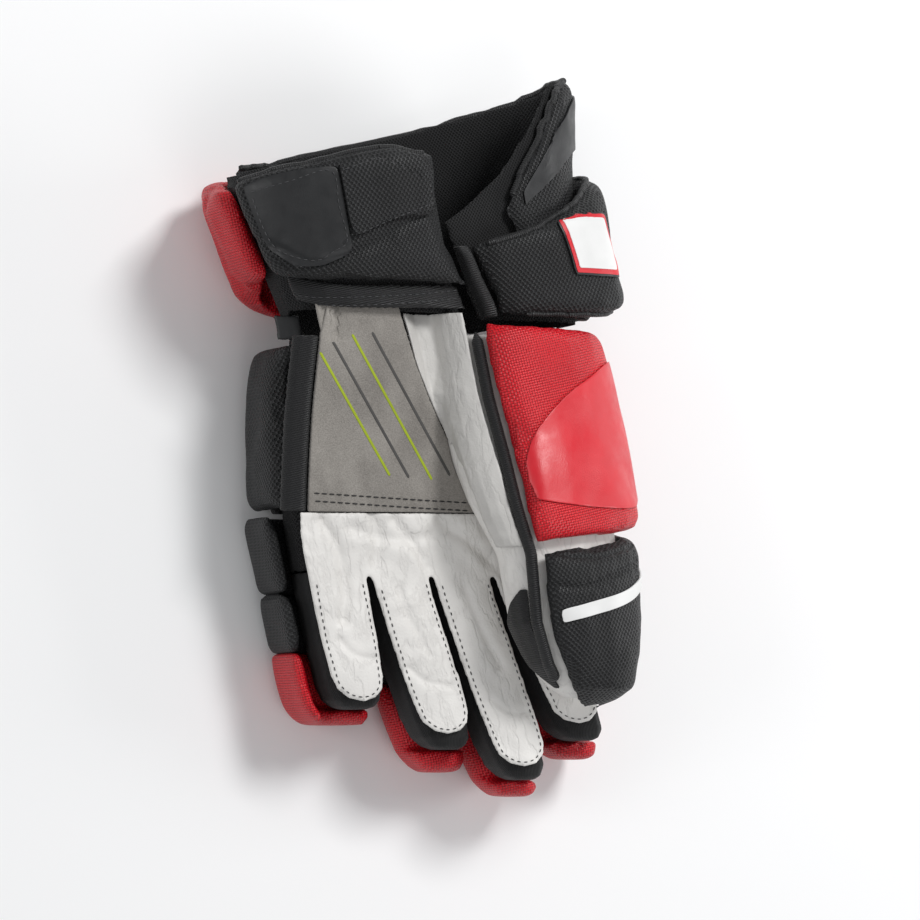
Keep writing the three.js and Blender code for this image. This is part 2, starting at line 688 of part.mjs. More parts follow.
const pipingPoints = [0.50, 0.30, 0.10, -0.10, -0.30, -0.50, -0.70, -0.90, -1.08, -1.22].map((along) => {
  const spot = sectionPoint(rowAt(thumbRows, along), pipingAngle, pipingRadius + gap + thumbRoom);
  return place(spot.across, along * palmLength, spot.up);
});
const pipingCircle = new THREE.Shape();
pipingCircle.absarc(0, 0, pipingRadius, 0, Math.PI * 2);
addPiece('thumb_piping', new THREE.ExtrudeGeometry(pipingCircle, {
  steps: 11,
  curveSegments: 4,
  extrudePath: new THREE.CatmullRomCurve3(pipingPoints),
}), 'tape');

// Cuff, from the lining out.
addPiece('cuff_lining', wrapPad(cuffRows, {
  from: 86.5,
  to: -271,
  low: [0.61, 0.61, 0.61, 0.61, 0.61, 0.61, 0.56, 0.54, 0.54, 0.65, 0.65, 0.66, 0.64],
  high: [1.10, 1.42, 1.86, 1.86, 1.80, 1.70, 1.56, 1.43, 1.37, 1.27, 1.28, 1.34, 1.40],
  under: -clothWall,
  thickness: clothWall,
  rim: 1,
  thin: true,
  columns: 19,
  rows: 2,
  ramp: [0.02, 0.1],
}), 'lining');
addPiece('cuff_palm_pad', wrapPad(cuffRows, {
  from: [87.5, 87.5, 86.5, 85.5],
  to: 165,
  low: [0.77, 0.765, 0.765, 0.785, 0.815],
  high: [1.46, 1.495, 1.465, 1.43, 1.40, 1.37, 1.34, 1.32, 1.29],
  under: gap + curveRoom,
  thickness: palmPadThickness,
  columns: 7,
  rows: 5,
}), 'mesh');
addPiece('cuff_hem', wrapPad(cuffRows, {
  from: 89,
  to: 158,
  low: [0.66, 0.655, 0.655, 0.67, 0.70],
  high: [0.755, 0.75, 0.75, 0.77, 0.80],
  under: gap + curveRoom,
  thickness: tapeThickness,
  thin: true,
  columns: 5,
  rows: 1,
  ramp: [0.05, 0.3],
}), 'tape');
addPiece('cuff_strap', wrapPad(cuffRows, {
  from: 89.5,
  to: 109.8,
  low: [1.14, 1.10, 0.97],
  high: [1.30, 1.42, 1.37],
  under: gap + curveRoom + palmPadThickness + overlayLift,
  thickness: 3,
  thin: true,
  columns: 2,
  rows: 2,
}), 'mesh');
addPiece('cuff_patch', wrapPad(cuffRows, {
  from: 110.3,
  to: 150,
  low: [0.93, 0.85, 0.85, 0.95],
  high: [1.36, 1.34, 1.31, 1.26],
  under: gap + curveRoom + palmPadThickness + overlayLift,
  thickness: patchThickness,
  thin: true,
  columns: 4,
  rows: 3,
}), 'satin');
addPiece('cuff_seam_tape', wrapPad(cuffRows, {
  from: 84.4,
  to: 87.1,
  low: 0.62,
  high: 0.98,
  under: gap + curveRoom,
  thickness: 8,
  thin: true,
  columns: 1,
  rows: 3,
  rim: 0.7,
}), 'tape');
const backPad = {
  from: 66,
  to: -140,
  low: 0.62,
  high: [1.22, 1.58, 1.88, 1.91, 1.88, 1.81, 1.74, 1.66, 1.56, 1.46, 1.41],
  under: gap + curveRoom,
  thickness: [4, backPadThickness, backPadThickness, backPadThickness, 4],
  columns: 13,
  rows: 2,
  ramp: [0.03, 0.1],
};
addPiece('cuff_back_pad', wrapPad(cuffRows, backPad), 'mesh');
addPiece('cuff_back_trim', wrapPad(cuffRows, {
  from: 60,
  to: -30,
  low: [1.20, 1.42, 1.53, 1.56, 1.58],
  high: [1.27, 1.62, 1.82, 1.83, 1.80],
  under: gap + curveRoom + backPadThickness + overlayLift,
  thickness: patchThickness,
  thin: true,
  columns: 5,
  rows: 2,
}), 'satin');
addPiece('cuff_roll', wrapPad(cuffRows, {
  from: 83.8,
  to: -97,
  low: [0.62, 0.63, 0.67, 0.67, 0.65, 0.63],
  high: [0.99, 1.17, 1.38, 1.42, 1.42, 1.42],
  under: [1.2, 7.5, rollUnder, rollUnder, rollUnder, rollUnder, rollUnder, rollUnder],
  thickness: [11, rollThickness, rollThickness, rollThickness],
  columns: 12,
  rows: 2,
  ramp: [0.06, 0.14],
}), 'mesh');
addPiece('cuff_roll_patch', wrapPad(cuffRows, {
  from: 58,
  to: 27,
  low: 0.84,
  high: 1.18,
  under: rollUnder + rollThickness + overlayLift,
  thickness: patchThickness,
  thin: true,
  columns: 3,
  rows: 3,
}), 'satin');
addPiece('cuff_side_roll', wrapPad(cuffRows, {
  from: -98,
  to: -191,
  low: [0.60, 0.64, 0.74, 0.84],
  high: [1.42, 1.38, 1.32, 1.27],
  under: [rollUnder, rollUnder, rollUnder, rollUnder, rollUnder, 9, 5, 1.4, 1.2, 1.2, 1.2],
  thickness: [rollThickness, rollThickness, 11.5, 10],
  columns: 8,
  rows: 4,
  ramp: [0.1, 0.14],
}), 'redWeave');
// The origin goes to the middle of the bottom.
const bounds = new THREE.Box3().setFromObject(glove);
const middle = bounds.getCenter(new THREE.Vector3());
glove.position.set(-middle.x, -middle.y, -bounds.min.z);
glove.updateMatrixWorld(true);

export default glove;
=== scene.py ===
import math

import bpy
import numpy as np
from mathutils import Matrix, Vector, noise
from mathutils.bvhtree import BVHTree


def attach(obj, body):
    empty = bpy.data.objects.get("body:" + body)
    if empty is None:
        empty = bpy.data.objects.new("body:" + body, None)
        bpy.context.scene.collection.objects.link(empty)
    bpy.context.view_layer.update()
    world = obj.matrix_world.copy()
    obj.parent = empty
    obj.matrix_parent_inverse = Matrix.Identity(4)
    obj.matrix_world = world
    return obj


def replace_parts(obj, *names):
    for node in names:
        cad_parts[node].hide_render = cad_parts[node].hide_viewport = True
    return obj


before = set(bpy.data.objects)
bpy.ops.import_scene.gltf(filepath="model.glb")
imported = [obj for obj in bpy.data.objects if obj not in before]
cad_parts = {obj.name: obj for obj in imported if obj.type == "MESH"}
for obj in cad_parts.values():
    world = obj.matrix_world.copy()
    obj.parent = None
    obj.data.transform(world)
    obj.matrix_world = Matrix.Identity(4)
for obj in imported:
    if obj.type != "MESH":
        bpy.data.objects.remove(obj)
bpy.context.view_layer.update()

mm = 0.001

# Camera: leaned to the little finger's side, turned in its own plane, as the photograph was taken.
cameraView = {
    "leanX": 0.3507,
    "leanY": -0.025,
    "turn": 13.36,
    "scale": 0.5003 * mm,
    "centre": (425.5, 440.0),
    "origin": (-17.875 * mm, 12.447 * mm, 64 * mm),
    "distance": 2.6,
}
# Plan of the glove: shares across and along, as in its solids.
plan = {"width": 107 * mm, "length": 100 * mm, "slant": 0.234, "x": -17.875 * mm, "y": 12.447 * mm}
# Strips of the palm's leather: middle line at the root and at the end, and the strip's end.
strips = {
    "index": {"root": 0.335, "end": 0.48, "tip": -1.55, "strip": -1.46},
    "middle": {"root": 0.037, "end": 0.14, "tip": -1.75, "strip": -1.68},
    "ring": {"root": -0.262, "end": -0.19, "tip": -1.59, "strip": -1.51},
    "pinky": {"root": -0.56, "end": -0.58, "tip": -1.38, "strip": -1.34},
}


def cameraAxes():
    view = Vector((-cameraView["leanX"], -cameraView["leanY"], 0))
    view.z = math.sqrt(1 - view.length_squared)
    side = (Vector((1, 0, 0)) - view.x * view).normalized()
    top = view.cross(side)
    turn = math.radians(cameraView["turn"])
    right = math.cos(turn) * side - math.sin(turn) * top
    up = math.sin(turn) * side + math.cos(turn) * top
    return right, up, view


def placeCamera():
    right, up, view = cameraAxes()
    scale = cameraView["scale"]
    centre = cameraView["centre"]
    target = Vector(cameraView["origin"]) + right * (460 - centre[0]) * scale - up * (460 - centre[1]) * scale
    data = bpy.data.cameras.new("camera")
    data.sensor_width = 36
    data.lens = 36 * cameraView["distance"] / (920 * scale)
    data.clip_end = 20
    camera = bpy.data.objects.new("camera", data)
    bpy.context.collection.objects.link(camera)
    camera.rotation_mode = "QUATERNION"
    camera.rotation_quaternion = Matrix((right, up, view)).transposed().to_quaternion()
    camera.location = target + view * cameraView["distance"]
    bpy.context.scene.camera = camera
    return camera, target, right, up


camera, cameraTarget, cameraRight, cameraUp = placeCamera()
print("camera placed")


# Objects and meshes

def deselectAll():
    if bpy.context.object and bpy.context.object.mode != "OBJECT":
        bpy.ops.object.mode_set(mode="OBJECT")
    bpy.ops.object.select_all(action="DESELECT")


def pick(piece):
    deselectAll()
    piece.select_set(True)
    bpy.context.view_layer.objects.active = piece


def editAll(piece):
    pick(piece)
    bpy.ops.object.mode_set(mode="EDIT")
    bpy.ops.mesh.select_all(action="SELECT")


def leaveEdit():
    bpy.ops.object.mode_set(mode="OBJECT")


def applyModifier(piece, name):
    pick(piece)
    bpy.ops.object.modifier_apply(modifier=name)


def pointsOf(piece):
    values = np.empty(len(piece.data.vertices) * 3)
    piece.data.vertices.foreach_get("co", values)
    return values.reshape(-1, 3)


def normalsOf(piece):
    values = np.empty(len(piece.data.vertices) * 3)
    piece.data.vertices.foreach_get("normal", values)
    return values.reshape(-1, 3)


def movePoints(piece, points):
    piece.data.vertices.foreach_set("co", np.ascontiguousarray(points).ravel())
    piece.data.update()


def copyOfNode(node, name):
    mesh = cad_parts[node].data.copy()
    mesh.materials.clear()
    piece = bpy.data.objects.new(name, mesh)
    bpy.context.collection.objects.link(piece)
    editAll(piece)
    bpy.ops.mesh.remove_doubles(threshold=0.00001)
    leaveEdit()
    return piece


def voxelCopy(node, name, voxel, smooth=3, thicken=0):
    piece = copyOfNode(node, name)
    movePoints(piece, pointsOf(piece) + normalsOf(piece) * thicken * mm)
    remesh = piece.modifiers.new("remesh", "REMESH")
    remesh.mode = "VOXEL"
    remesh.voxel_size = voxel * mm
    remesh.use_smooth_shade = True
    applyModifier(piece, "remesh")
    if smooth:
        soften = piece.modifiers.new("soften", "SMOOTH")
        soften.factor = 0.5
        soften.iterations = smooth
        applyModifier(piece, "soften")
    return piece


def subdivided(piece, levels):
    surface = piece.modifiers.new("surface", "SUBSURF")
    surface.levels = levels
    surface.render_levels = levels
    applyModifier(piece, "surface")
    pick(piece)
    bpy.ops.object.shade_smooth()


# Flat cloth coordinates in millimetres: each face is read along its own steepest direction.
def clothMap(piece):
    mesh = piece.data
    while mesh.uv_layers:
        mesh.uv_layers.remove(mesh.uv_layers[0])
    layer = mesh.uv_layers.new(name="cloth")
    corners = np.empty(len(mesh.loops), dtype=np.int64)
    mesh.loops.foreach_get("vertex_index", corners)
    totals = np.empty(len(mesh.polygons), dtype=np.int64)
    mesh.polygons.foreach_get("loop_total", totals)
    normals = np.empty(len(mesh.polygons) * 3)
    mesh.polygons.foreach_get("normal", normals)
    steepest = np.repeat(np.abs(normals.reshape(-1, 3)).argmax(axis=1), totals)
    places = pointsOf(piece)[corners] / mm
    across = np.where(steepest == 0, places[:, 2], places[:, 0])
    along = np.where(steepest == 1, places[:, 2], places[:, 1])
    layer.data.foreach_set("uv", np.stack([across, along], 1).astype(np.float32).ravel())


def finishPiece(piece, material, nodes=()):
    if not piece.data.uv_layers:
        clothMap(piece)
    piece.data.materials.clear()
    piece.data.materials.append(material)
    pick(piece)
    bpy.ops.object.shade_smooth()
    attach(piece, "root")
    if nodes:
        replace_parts(piece, *nodes)
    return piece


# Lines on the surface

def smoothLine(points, spacing):
    points = np.array(points, dtype=float)
    padded = np.vstack([2 * points[0] - points[1], points, 2 * points[-1] - points[-2]])
    dense = []
    for index in range(len(points) - 1):
        before, start, end, after = padded[index:index + 4]
        for share in np.linspace(0, 1, 24, endpoint=False):
            dense.append(0.5 * (2 * start + (end - before) * share
                                + (2 * before - 5 * start + 4 * end - after) * share ** 2
                                + (3 * start - before - 3 * end + after) * share ** 3))
    dense.append(points[-1])
    dense = np.array(dense)
    lengths = np.concatenate([[0], np.cumsum(np.linalg.norm(np.diff(dense, axis=0), axis=1))])
    count = max(2, int(lengths[-1] / spacing) + 1)
    spots = np.linspace(0, lengths[-1], count)
    return np.stack([np.interp(spots, lengths, dense[:, axis]) for axis in range(dense.shape[1])], 1)


def treeOf(*pieces):
    corners = []
    faces = []
    for piece in pieces:
        start = len(corners)
        corners += [vertex.co.copy() for vertex in piece.data.vertices]
        faces += [[start + index for index in face.vertices] for face in piece.data.polygons]
    return BVHTree.FromPolygons(corners, faces)


def pixelPlace(x, y):
    scale = cameraView["scale"]
    return cameraTarget + cameraRight * (x - 460) * scale - cameraUp * (y - 460) * scale


# A line seen at these pixels, laid on what carries it.
def seenLine(pixels, tree, spacing=1.6):
    found = []
    for x, y in smoothLine(pixels, spacing):
        start = camera.location
        place, normal, _, _ = tree.ray_cast(start, (pixelPlace(x, y) - start).normalized())
        if place is not None:
            found.append((place, normal))
    return found


def planPoint(across, along):
    x = across * plan["width"]
    return x + plan["x"], along * plan["length"] - plan["slant"] * x + plan["y"]


def planShares(points):
    x = points[:, 0] - plan["x"]
    along = (points[:, 1] - plan["y"] + plan["slant"] * x) / plan["length"]
    return x / plan["width"], along


# A line given in shares across and along, laid on top of what carries it.
def planLine(shares, tree, spacing=0.8):
    flat = smoothLine([planPoint(across, along) for across, along in shares], spacing * mm)
    found = []
    for x, y in flat:
        place, normal, _, _ = tree.ray_cast(Vector((x, y, 0.3)), Vector((0, 0, -1)))
        if place is not None:
            found.append((place, normal))
    return found


def lineDistance(points, line):
    path = np.array([place for place, _ in line])
    starts, ends = path[:-1], path[1:]
    steps = ends - starts
    squares = np.maximum((steps ** 2).sum(1), 1e-14)
    lengths = np.concatenate([[0], np.cumsum(np.sqrt(squares))])
    nearest = np.full(len(points), 1e9)
    travelled = np.zeros(len(points))
    for index in range(len(starts)):
        share = np.clip(((points - starts[index]) @ steps[index]) / squares[index], 0, 1)
        away = np.linalg.norm(points - (starts[index] + share[:, None] * steps[index]), axis=1)
        closer = away < nearest
        nearest[closer] = away[closer]
        travelled[closer] = lengths[index] + share[closer] * math.sqrt(squares[index])
    return nearest, travelled


# Pulls the surface in along a seam and puckers the cloth beside it.
def sewSeam(piece, line, width, depth, pucker=0.25, pitch=6.0, direction=None):
    if len(line) < 2:
        return
    points = pointsOf(piece)
    normals = normalsOf(piece)
    if direction is not None:
        normals = np.tile(np.array(direction, dtype=float), (len(points), 1))
    away, travelled = lineDistance(points, line)
    sunk = np.exp(-(away / (width * mm)) ** 2)
    beside = np.exp(-(away / (4 * width * mm)) ** 2) * (1 - sunk)
    ripple = np.sin(travelled / (pitch * mm) * 2 * math.pi + 2 * np.sin(travelled / (17 * mm)))
    move = -depth * mm * sunk + pucker * mm * ripple * beside
    movePoints(piece, points + normals * move[:, None])


def cloudValues(points, size, seed):
    shift = Vector((seed * 3.7, seed * 1.3, seed * 5.1))
    return np.array([noise.noise(Vector(point) / (size * mm) + shift) for point in points])


# Soft unevenness of a stuffed or loose surface.
def ruffle(piece, size, height, seed):
    points = pointsOf(piece)
    movePoints(piece, points + normalsOf(piece) * (cloudValues(points, size, seed) * height * mm)[:, None])


# Copies one stitch along a line.
stitchShape = {"sides": 6, "rings": 5}


def stitchRow(name, line, material, length=2.6, pause=1.4, thickness=0.55, lift=0.22):
    if len(line) < 3:
        return None
    path = np.array([place for place, _ in line])
    outward = np.array([normal for _, normal in line])
    lengths = np.concatenate([[0], np.cumsum(np.linalg.norm(np.diff(path, axis=0), axis=1))])
    deselectAll()
    bpy.ops.mesh.primitive_uv_sphere_add(segments=stitchShape["sides"], ring_count=stitchShape["rings"], radius=1)
    piece = bpy.context.active_object
    piece.name = name
    shape = pointsOf(piece)
    faces = [list(face.vertices) for face in piece.data.polygons]
    corners = []
    allFaces = []
    spot = 0.5 * length * mm
    while spot < lengths[-1] - 0.5 * length * mm:
        middle = np.array([np.interp(spot, lengths, path[:, axis]) for axis in range(3)])
        ahead = np.array([np.interp(spot + 0.4 * mm, lengths, path[:, axis]) for axis in range(3)])
        normal = np.array([np.interp(spot, lengths, outward[:, axis]) for axis in range(3)])
        normal /= np.linalg.norm(normal)
        forward = ahead - middle
        forward -= normal * forward.dot(normal)
        forward /= max(1e-9, np.linalg.norm(forward))
        sideways = np.cross(normal, forward)
        start = len(corners)
        stitch = (shape[:, [2]] * forward * length / 2 + shape[:, [0]] * sideways * thickness / 2
                  + shape[:, [1]] * normal * thickness / 2) * mm + middle + normal * lift * mm
        corners += [tuple(corner) for corner in stitch]
        allFaces += [[start + index for index in face] for face in faces]
        spot += (length + pause) * mm
    mesh = bpy.data.meshes.new(name)
    mesh.from_pydata(corners, [], allFaces)
    old = piece.data
    piece.data = mesh
    bpy.data.meshes.remove(old)
    return finishPiece(piece, material)


# A round or flattened cord along a line, with its length in millimetres in the cloth map.
def tubeAlong(name, line, radius, material, lift=0.0, sides=12, flat=1.0, closed=False):
    path = np.array([place for place, _ in line])
    outward = np.array([normal for _, normal in line])
    count = len(path)
    forward = np.gradient(path, axis=0)
    forward /= np.maximum(1e-12, np.linalg.norm(forward, axis=1))[:, None]
    outward -= forward * (outward * forward).sum(1)[:, None]
    for _ in range(6):
        outward[1:-1] = (outward[:-2] + outward[1:-1] * 2 + outward[2:]) / 4
    outward /= np.maximum(1e-12, np.linalg.norm(outward, axis=1))[:, None]
    sideways = np.cross(outward, forward)
    lengths = np.concatenate([[0], np.cumsum(np.linalg.norm(np.diff(path, axis=0), axis=1))]) / mm
    corners = []
    faces = []
    maps = []
    for ring in range(count):
        ends = 1.0
        if not closed:
            edge = min(lengths[ring], lengths[-1] - lengths[ring]) / max(radius, 0.2)
            ends = math.sqrt(max(0.02, 1 - (1 - min(1, edge)) ** 2))
        for side in range(sides):
            angle = side / sides * 2 * math.pi
            wide = math.cos(angle) * radius * ends
            high = math.sin(angle) * radius * ends * flat
            corners.append(path[ring] + (sideways[ring] * wide + outward[ring] * (high + lift)) * mm)
    for ring in range(count - 1):
        for side in range(sides):
            after = (side + 1) % sides
            near, far = ring * sides, (ring + 1) * sides
            faces.append([near + side, near + after, far + after, far + side])
            maps.append([(side, ring), (side + 1, ring), (side + 1, ring + 1), (side, ring + 1)])
    faces.append([side for side in reversed(range(sides))])
    maps.append([(side, 0) for side in reversed(range(sides))])
    faces.append([(count - 1) * sides + side for side in range(sides)])
    maps.append([(side, count - 1) for side in range(sides)])
    mesh = bpy.data.meshes.new(name)
    mesh.from_pydata([tuple(corner) for corner in corners], [], faces)
    layer = mesh.uv_layers.new(name="cloth")
    girth = 2 * math.pi * radius / sides
    spots = [(side * girth, lengths[ring]) for face in maps for side, ring in face]
    layer.data.foreach_set("uv", [value for spot in spots for value in spot])
    piece = bpy.data.objects.new(name, mesh)
    bpy.context.collection.objects.link(piece)
    editAll(piece)
    bpy.ops.mesh.normals_make_consistent(inside=False)
    leaveEdit()
    return finishPiece(piece, material)


# Rings of the cuff and of the thumb, as in the solids, in shares of the plan.
ringHeight = 100 * mm
cuffRings = (
    {"along": 1.95, "centre": 0.16, "level": 0.58, "wide": 0.91, "high": 0.38, "square": 2.3, "tilt": 0},
    {"along": 1.50, "centre": 0.15, "level": 0.56, "wide": 0.83, "high": 0.35, "square": 2.4, "tilt": 0},
    {"along": 1.20, "centre": 0.15, "level": 0.55, "wide": 0.77, "high": 0.32, "square": 2.6, "tilt": 0},
    {"along": 0.85, "centre": 0.18, "level": 0.53, "wide": 0.72, "high": 0.30, "square": 3.1, "tilt": 0},
    {"along": 0.54, "centre": 0.21, "level": 0.52, "wide": 0.69, "high": 0.29, "square": 3.8, "tilt": 0},
)
thumbRings = (
    {"along": 0.535, "centre": 0.51, "level": 0.58, "wide": 0.34, "high": 0.31, "square": 2.3, "tilt": -12},
    {"along": 0.20, "centre": 0.485, "level": 0.61, "wide": 0.385, "high": 0.30, "square": 2.3, "tilt": -18},
    {"along": -0.10, "centre": 0.47, "level": 0.66, "wide": 0.39, "high": 0.28, "square": 2.3, "tilt": -22},
    {"along": -0.32, "centre": 0.45, "level": 0.74, "wide": 0.37, "high": 0.25, "square": 2.3, "tilt": -22},
    {"along": -0.60, "centre": 0.45, "level": 0.82, "wide": 0.31, "high": 0.20, "square": 2.3, "tilt": -18},
    {"along": -0.95, "centre": 0.405, "level": 0.83, "wide": 0.275, "high": 0.185, "square": 2.3, "tilt": -14},
    {"along": -1.16, "centre": 0.41, "level": 0.81, "wide": 0.215, "high": 0.16, "square": 2.3, "tilt": -10},
    {"along": -1.28, "centre": 0.425, "level": 0.79, "wide": 0.15, "high": 0.12, "square": 2.3, "tilt": -6},
)


def ringPoint(rings, angle, along, out):
    index = 0
    while index < len(rings) - 2 and rings[index + 1]["along"] > along:
        index += 1
    first, second = rings[index], rings[index + 1]
    share = (along - first["along"]) / (second["along"] - first["along"])
    share = min(1.15, max(-0.3, share))
    ring = {key: first[key] + (second[key] - first[key]) * share for key in first}
    cos, sin = math.cos(math.radians(angle)), math.sin(math.radians(angle))
    power = 2 / ring["square"]
    wide = math.copysign(abs(cos) ** power, cos) * (ring["wide"] * plan["width"] + out * mm)
    high = math.copysign(abs(sin) ** power, sin) * (ring["high"] * ringHeight + out * mm)
    turn = math.radians(ring["tilt"])
    across = ring["centre"] * plan["width"] + wide * math.cos(turn) - high * math.sin(turn)
    x, y = planPoint(across / plan["width"], along)
    return Vector((x, y, ring["level"] * ringHeight + wide * math.sin(turn) + high * math.cos(turn)))


# A line given by angles and shares along, snapped to the nearest surface.
def ringLine(rings, spots, out, tree, spacing=1.0):
    dense = smoothLine(spots, 1.0) if len(spots) > 2 else np.linspace(spots[0], spots[1], 40)
    places = [ringPoint(rings, angle, along, out) for angle, along in dense]
    even = smoothLine(np.array(places)[::max(1, len(places) // 40)], spacing * mm)
    found = []
    for place in even:
        nearest, normal, _, _ = tree.find_nearest(Vector(place))
        away = Vector(place) - nearest
        found.append((nearest, away.normalized() if away.length > 1e-5 else normal))
    return found


def spread(first, last, values):
    steps = np.linspace(first, last, len(values))
    return [(angle, value) for angle, value in zip(steps, values)]


# Materials

def newMaterial(name):
    material = bpy.data.materials.new(name)
    material.use_nodes = True
    tree = material.node_tree
    shader = tree.nodes["Principled BSDF"]
    return material, tree, shader


def addNode(tree, kind, inputs=(), **settings):
    made = tree.nodes.new(kind)
    for key, value in settings.items():
        setattr(made, key, value)
    for key, value in dict(inputs).items():
        if isinstance(value, bpy.types.NodeSocket):
            tree.links.new(value, made.inputs[key])
        else:
            made.inputs[key].default_value = value
    return made


def math1(tree, operation, first, second=None):
    inputs = {0: first}
    if second is not None:
        inputs[1] = second
    return addNode(tree, "ShaderNodeMath", inputs, operation=operation).outputs[0]


def rise(tree, value, low, high, start=0.0, end=1.0):
    return addNode(tree, "ShaderNodeMapRange", {"Value": value, "From Min": low, "From Max": high,
                                                "To Min": start, "To Max": end}).outputs["Result"]


def blendColours(tree, share, first, second):
    mixer = addNode(tree, "ShaderNodeMix", data_type="RGBA")
    for index, value in ((0, share), (6, first), (7, second)):
        if isinstance(value, bpy.types.NodeSocket):
            tree.links.new(value, mixer.inputs[index])
        else:
            mixer.inputs[index].default_value = value if index == 0 else (*value, 1)
    return mixer.outputs[2]


def cloudNoise(tree, scale, detail=3.0, stretch=None):
    place = addNode(tree, "ShaderNodeTexCoord").outputs["Object"]
    if stretch:
        place = addNode(tree, "ShaderNodeMapping", {"Vector": place, "Scale": stretch}).outputs[0]
    return addNode(tree, "ShaderNodeTexNoise", {"Vector": place, "Scale": scale, "Detail": detail}).outputs["Fac"]


def clothCoordinates(tree, pitchAcross, pitchAlong=None):
    flat = addNode(tree, "ShaderNodeUVMap", uv_map="cloth").outputs[0]
    scale = (1 / pitchAcross, 1 / (pitchAlong or pitchAcross), 1)
    return addNode(tree, "ShaderNodeVectorMath", {0: flat, 1: scale}, operation="MULTIPLY").outputs[0]


# Round holes in staggered rows: nearest of two square lattices.
def honeycomb(tree, pitch):
    flat = clothCoordinates(tree, pitch, pitch * 1.35)
    distances = []
    for shift in (0.0, 0.5):
        moved = addNode(tree, "ShaderNodeVectorMath", {0: flat, 1: (shift, shift, 0)}, operation="ADD").outputs[0]
        cell = addNode(tree, "ShaderNodeVectorMath", {0: moved}, operation="FRACTION").outputs[0]
        centred = addNode(tree, "ShaderNodeVectorMath", {0: cell, 1: (0.5, 0.5, 0.5)}, operation="SUBTRACT").outputs[0]
        scaled = addNode(tree, "ShaderNodeVectorMath", {0: centred, 1: (1, 1.35, 0)}, operation="MULTIPLY").outputs[0]
        distances.append(addNode(tree, "ShaderNodeVectorMath", {0: scaled}, operation="LENGTH").outputs["Value"])
    return math1(tree, "MINIMUM", *distances)


# Basket weave: neighbouring cells show the yarn of the one and of the other direction.
def basketWeave(tree, pitch):
    flat = clothCoordinates(tree, pitch)
    split = addNode(tree, "ShaderNodeSeparateXYZ", {0: flat})
    waves = []
    for axis in (0, 1):
        turned = math1(tree, "MULTIPLY", split.outputs[axis], math.pi)
        waves.append(math1(tree, "SINE", turned))
    parity = math1(tree, "GREATER_THAN", math1(tree, "MULTIPLY", *waves), 0.0)
    ridges = [math1(tree, "POWER", math1(tree, "ABSOLUTE", wave), 0.6) for wave in waves]
    mixer = addNode(tree, "ShaderNodeMix", {0: parity, 2: ridges[0], 3: ridges[1]}, data_type="FLOAT")
    return mixer.outputs[0]


def bumpFrom(tree, height, distance, strength=1.0, before=None):
    inputs = {"Height": height, "Distance": distance * mm, "Strength": strength}
    if before is not None:
        inputs["Normal"] = before
    return addNode(tree, "ShaderNodeBump", inputs).outputs[0]


def meshCloth(name, hole, rib, pitch=2.3, roughness=0.5):
    material, tree, shader = newMaterial(name)
    distance = honeycomb(tree, pitch)
    rim = rise(tree, distance, 0.20, 0.40)
    tone = rise(tree, cloudNoise(tree, 60, 4), 0.35, 0.7)
    ribs = blendColours(tree, tone, tuple(0.75 * value for value in rib), tuple(1.35 * value for value in rib))
    # The holes are coloured much darker than the ribs: painted shade in the recesses.
    tree.links.new(blendColours(tree, rim, hole, ribs), shader.inputs["Base Color"])
    fibre = cloudNoise(tree, 2600, 2)
    roughBump = bumpFrom(tree, fibre, 0.08)
    tree.links.new(bumpFrom(tree, rim, 0.7, 1.0, roughBump), shader.inputs["Normal"])
    tree.links.new(rise(tree, rim, 0, 1, roughness + 0.25, roughness), shader.inputs["Roughness"])
    shader.inputs["Sheen Weight"].default_value = 0.02
    shader.inputs["Sheen Roughness"].default_value = 0.4
    shader.inputs["Specular IOR Level"].default_value = 0.5
    return material


def wovenCloth(name, deep, bright, pitch=1.15, relief=0.4):
    material, tree, shader = newMaterial(name)
    weave = basketWeave(tree, pitch)
    tone = rise(tree, cloudNoise(tree, 45, 4), 0.3, 0.75)
    yarn = blendColours(tree, tone, tuple(0.82 * value for value in bright), bright)
    # The gaps between the yarns take the deep colour: painted shade.
    tree.links.new(blendColours(tree, rise(tree, weave, 0.25, 0.85), deep, yarn), shader.inputs["Base Color"])
    fibre = bumpFrom(tree, cloudNoise(tree, 3000, 2), 0.05)
    tree.links.new(bumpFrom(tree, weave, relief, 1.0, fibre), shader.inputs["Normal"])
    shader.inputs["Roughness"].default_value = 0.42
    shader.inputs["Specular IOR Level"].default_value = 0.5
    return material


def smoothFilm(name, colour, roughness=0.36, grain=0.05):
    material, tree, shader = newMaterial(name)
    tone = rise(tree, cloudNoise(tree, 35, 3), 0.3, 0.75)
    tree.links.new(blendColours(tree, tone, tuple(0.85 * value for value in colour), colour), shader.inputs["Base Color"])
    fine = bumpFrom(tree, cloudNoise(tree, 1500, 3), grain)
    tree.links.new(bumpFrom(tree, cloudNoise(tree, 90, 2), 0.35, 0.6, fine), shader.inputs["Normal"])
    worn = rise(tree, cloudNoise(tree, 160, 4), 0.3, 0.7, roughness - 0.05, roughness + 0.1)
    tree.links.new(worn, shader.inputs["Roughness"])
    return material


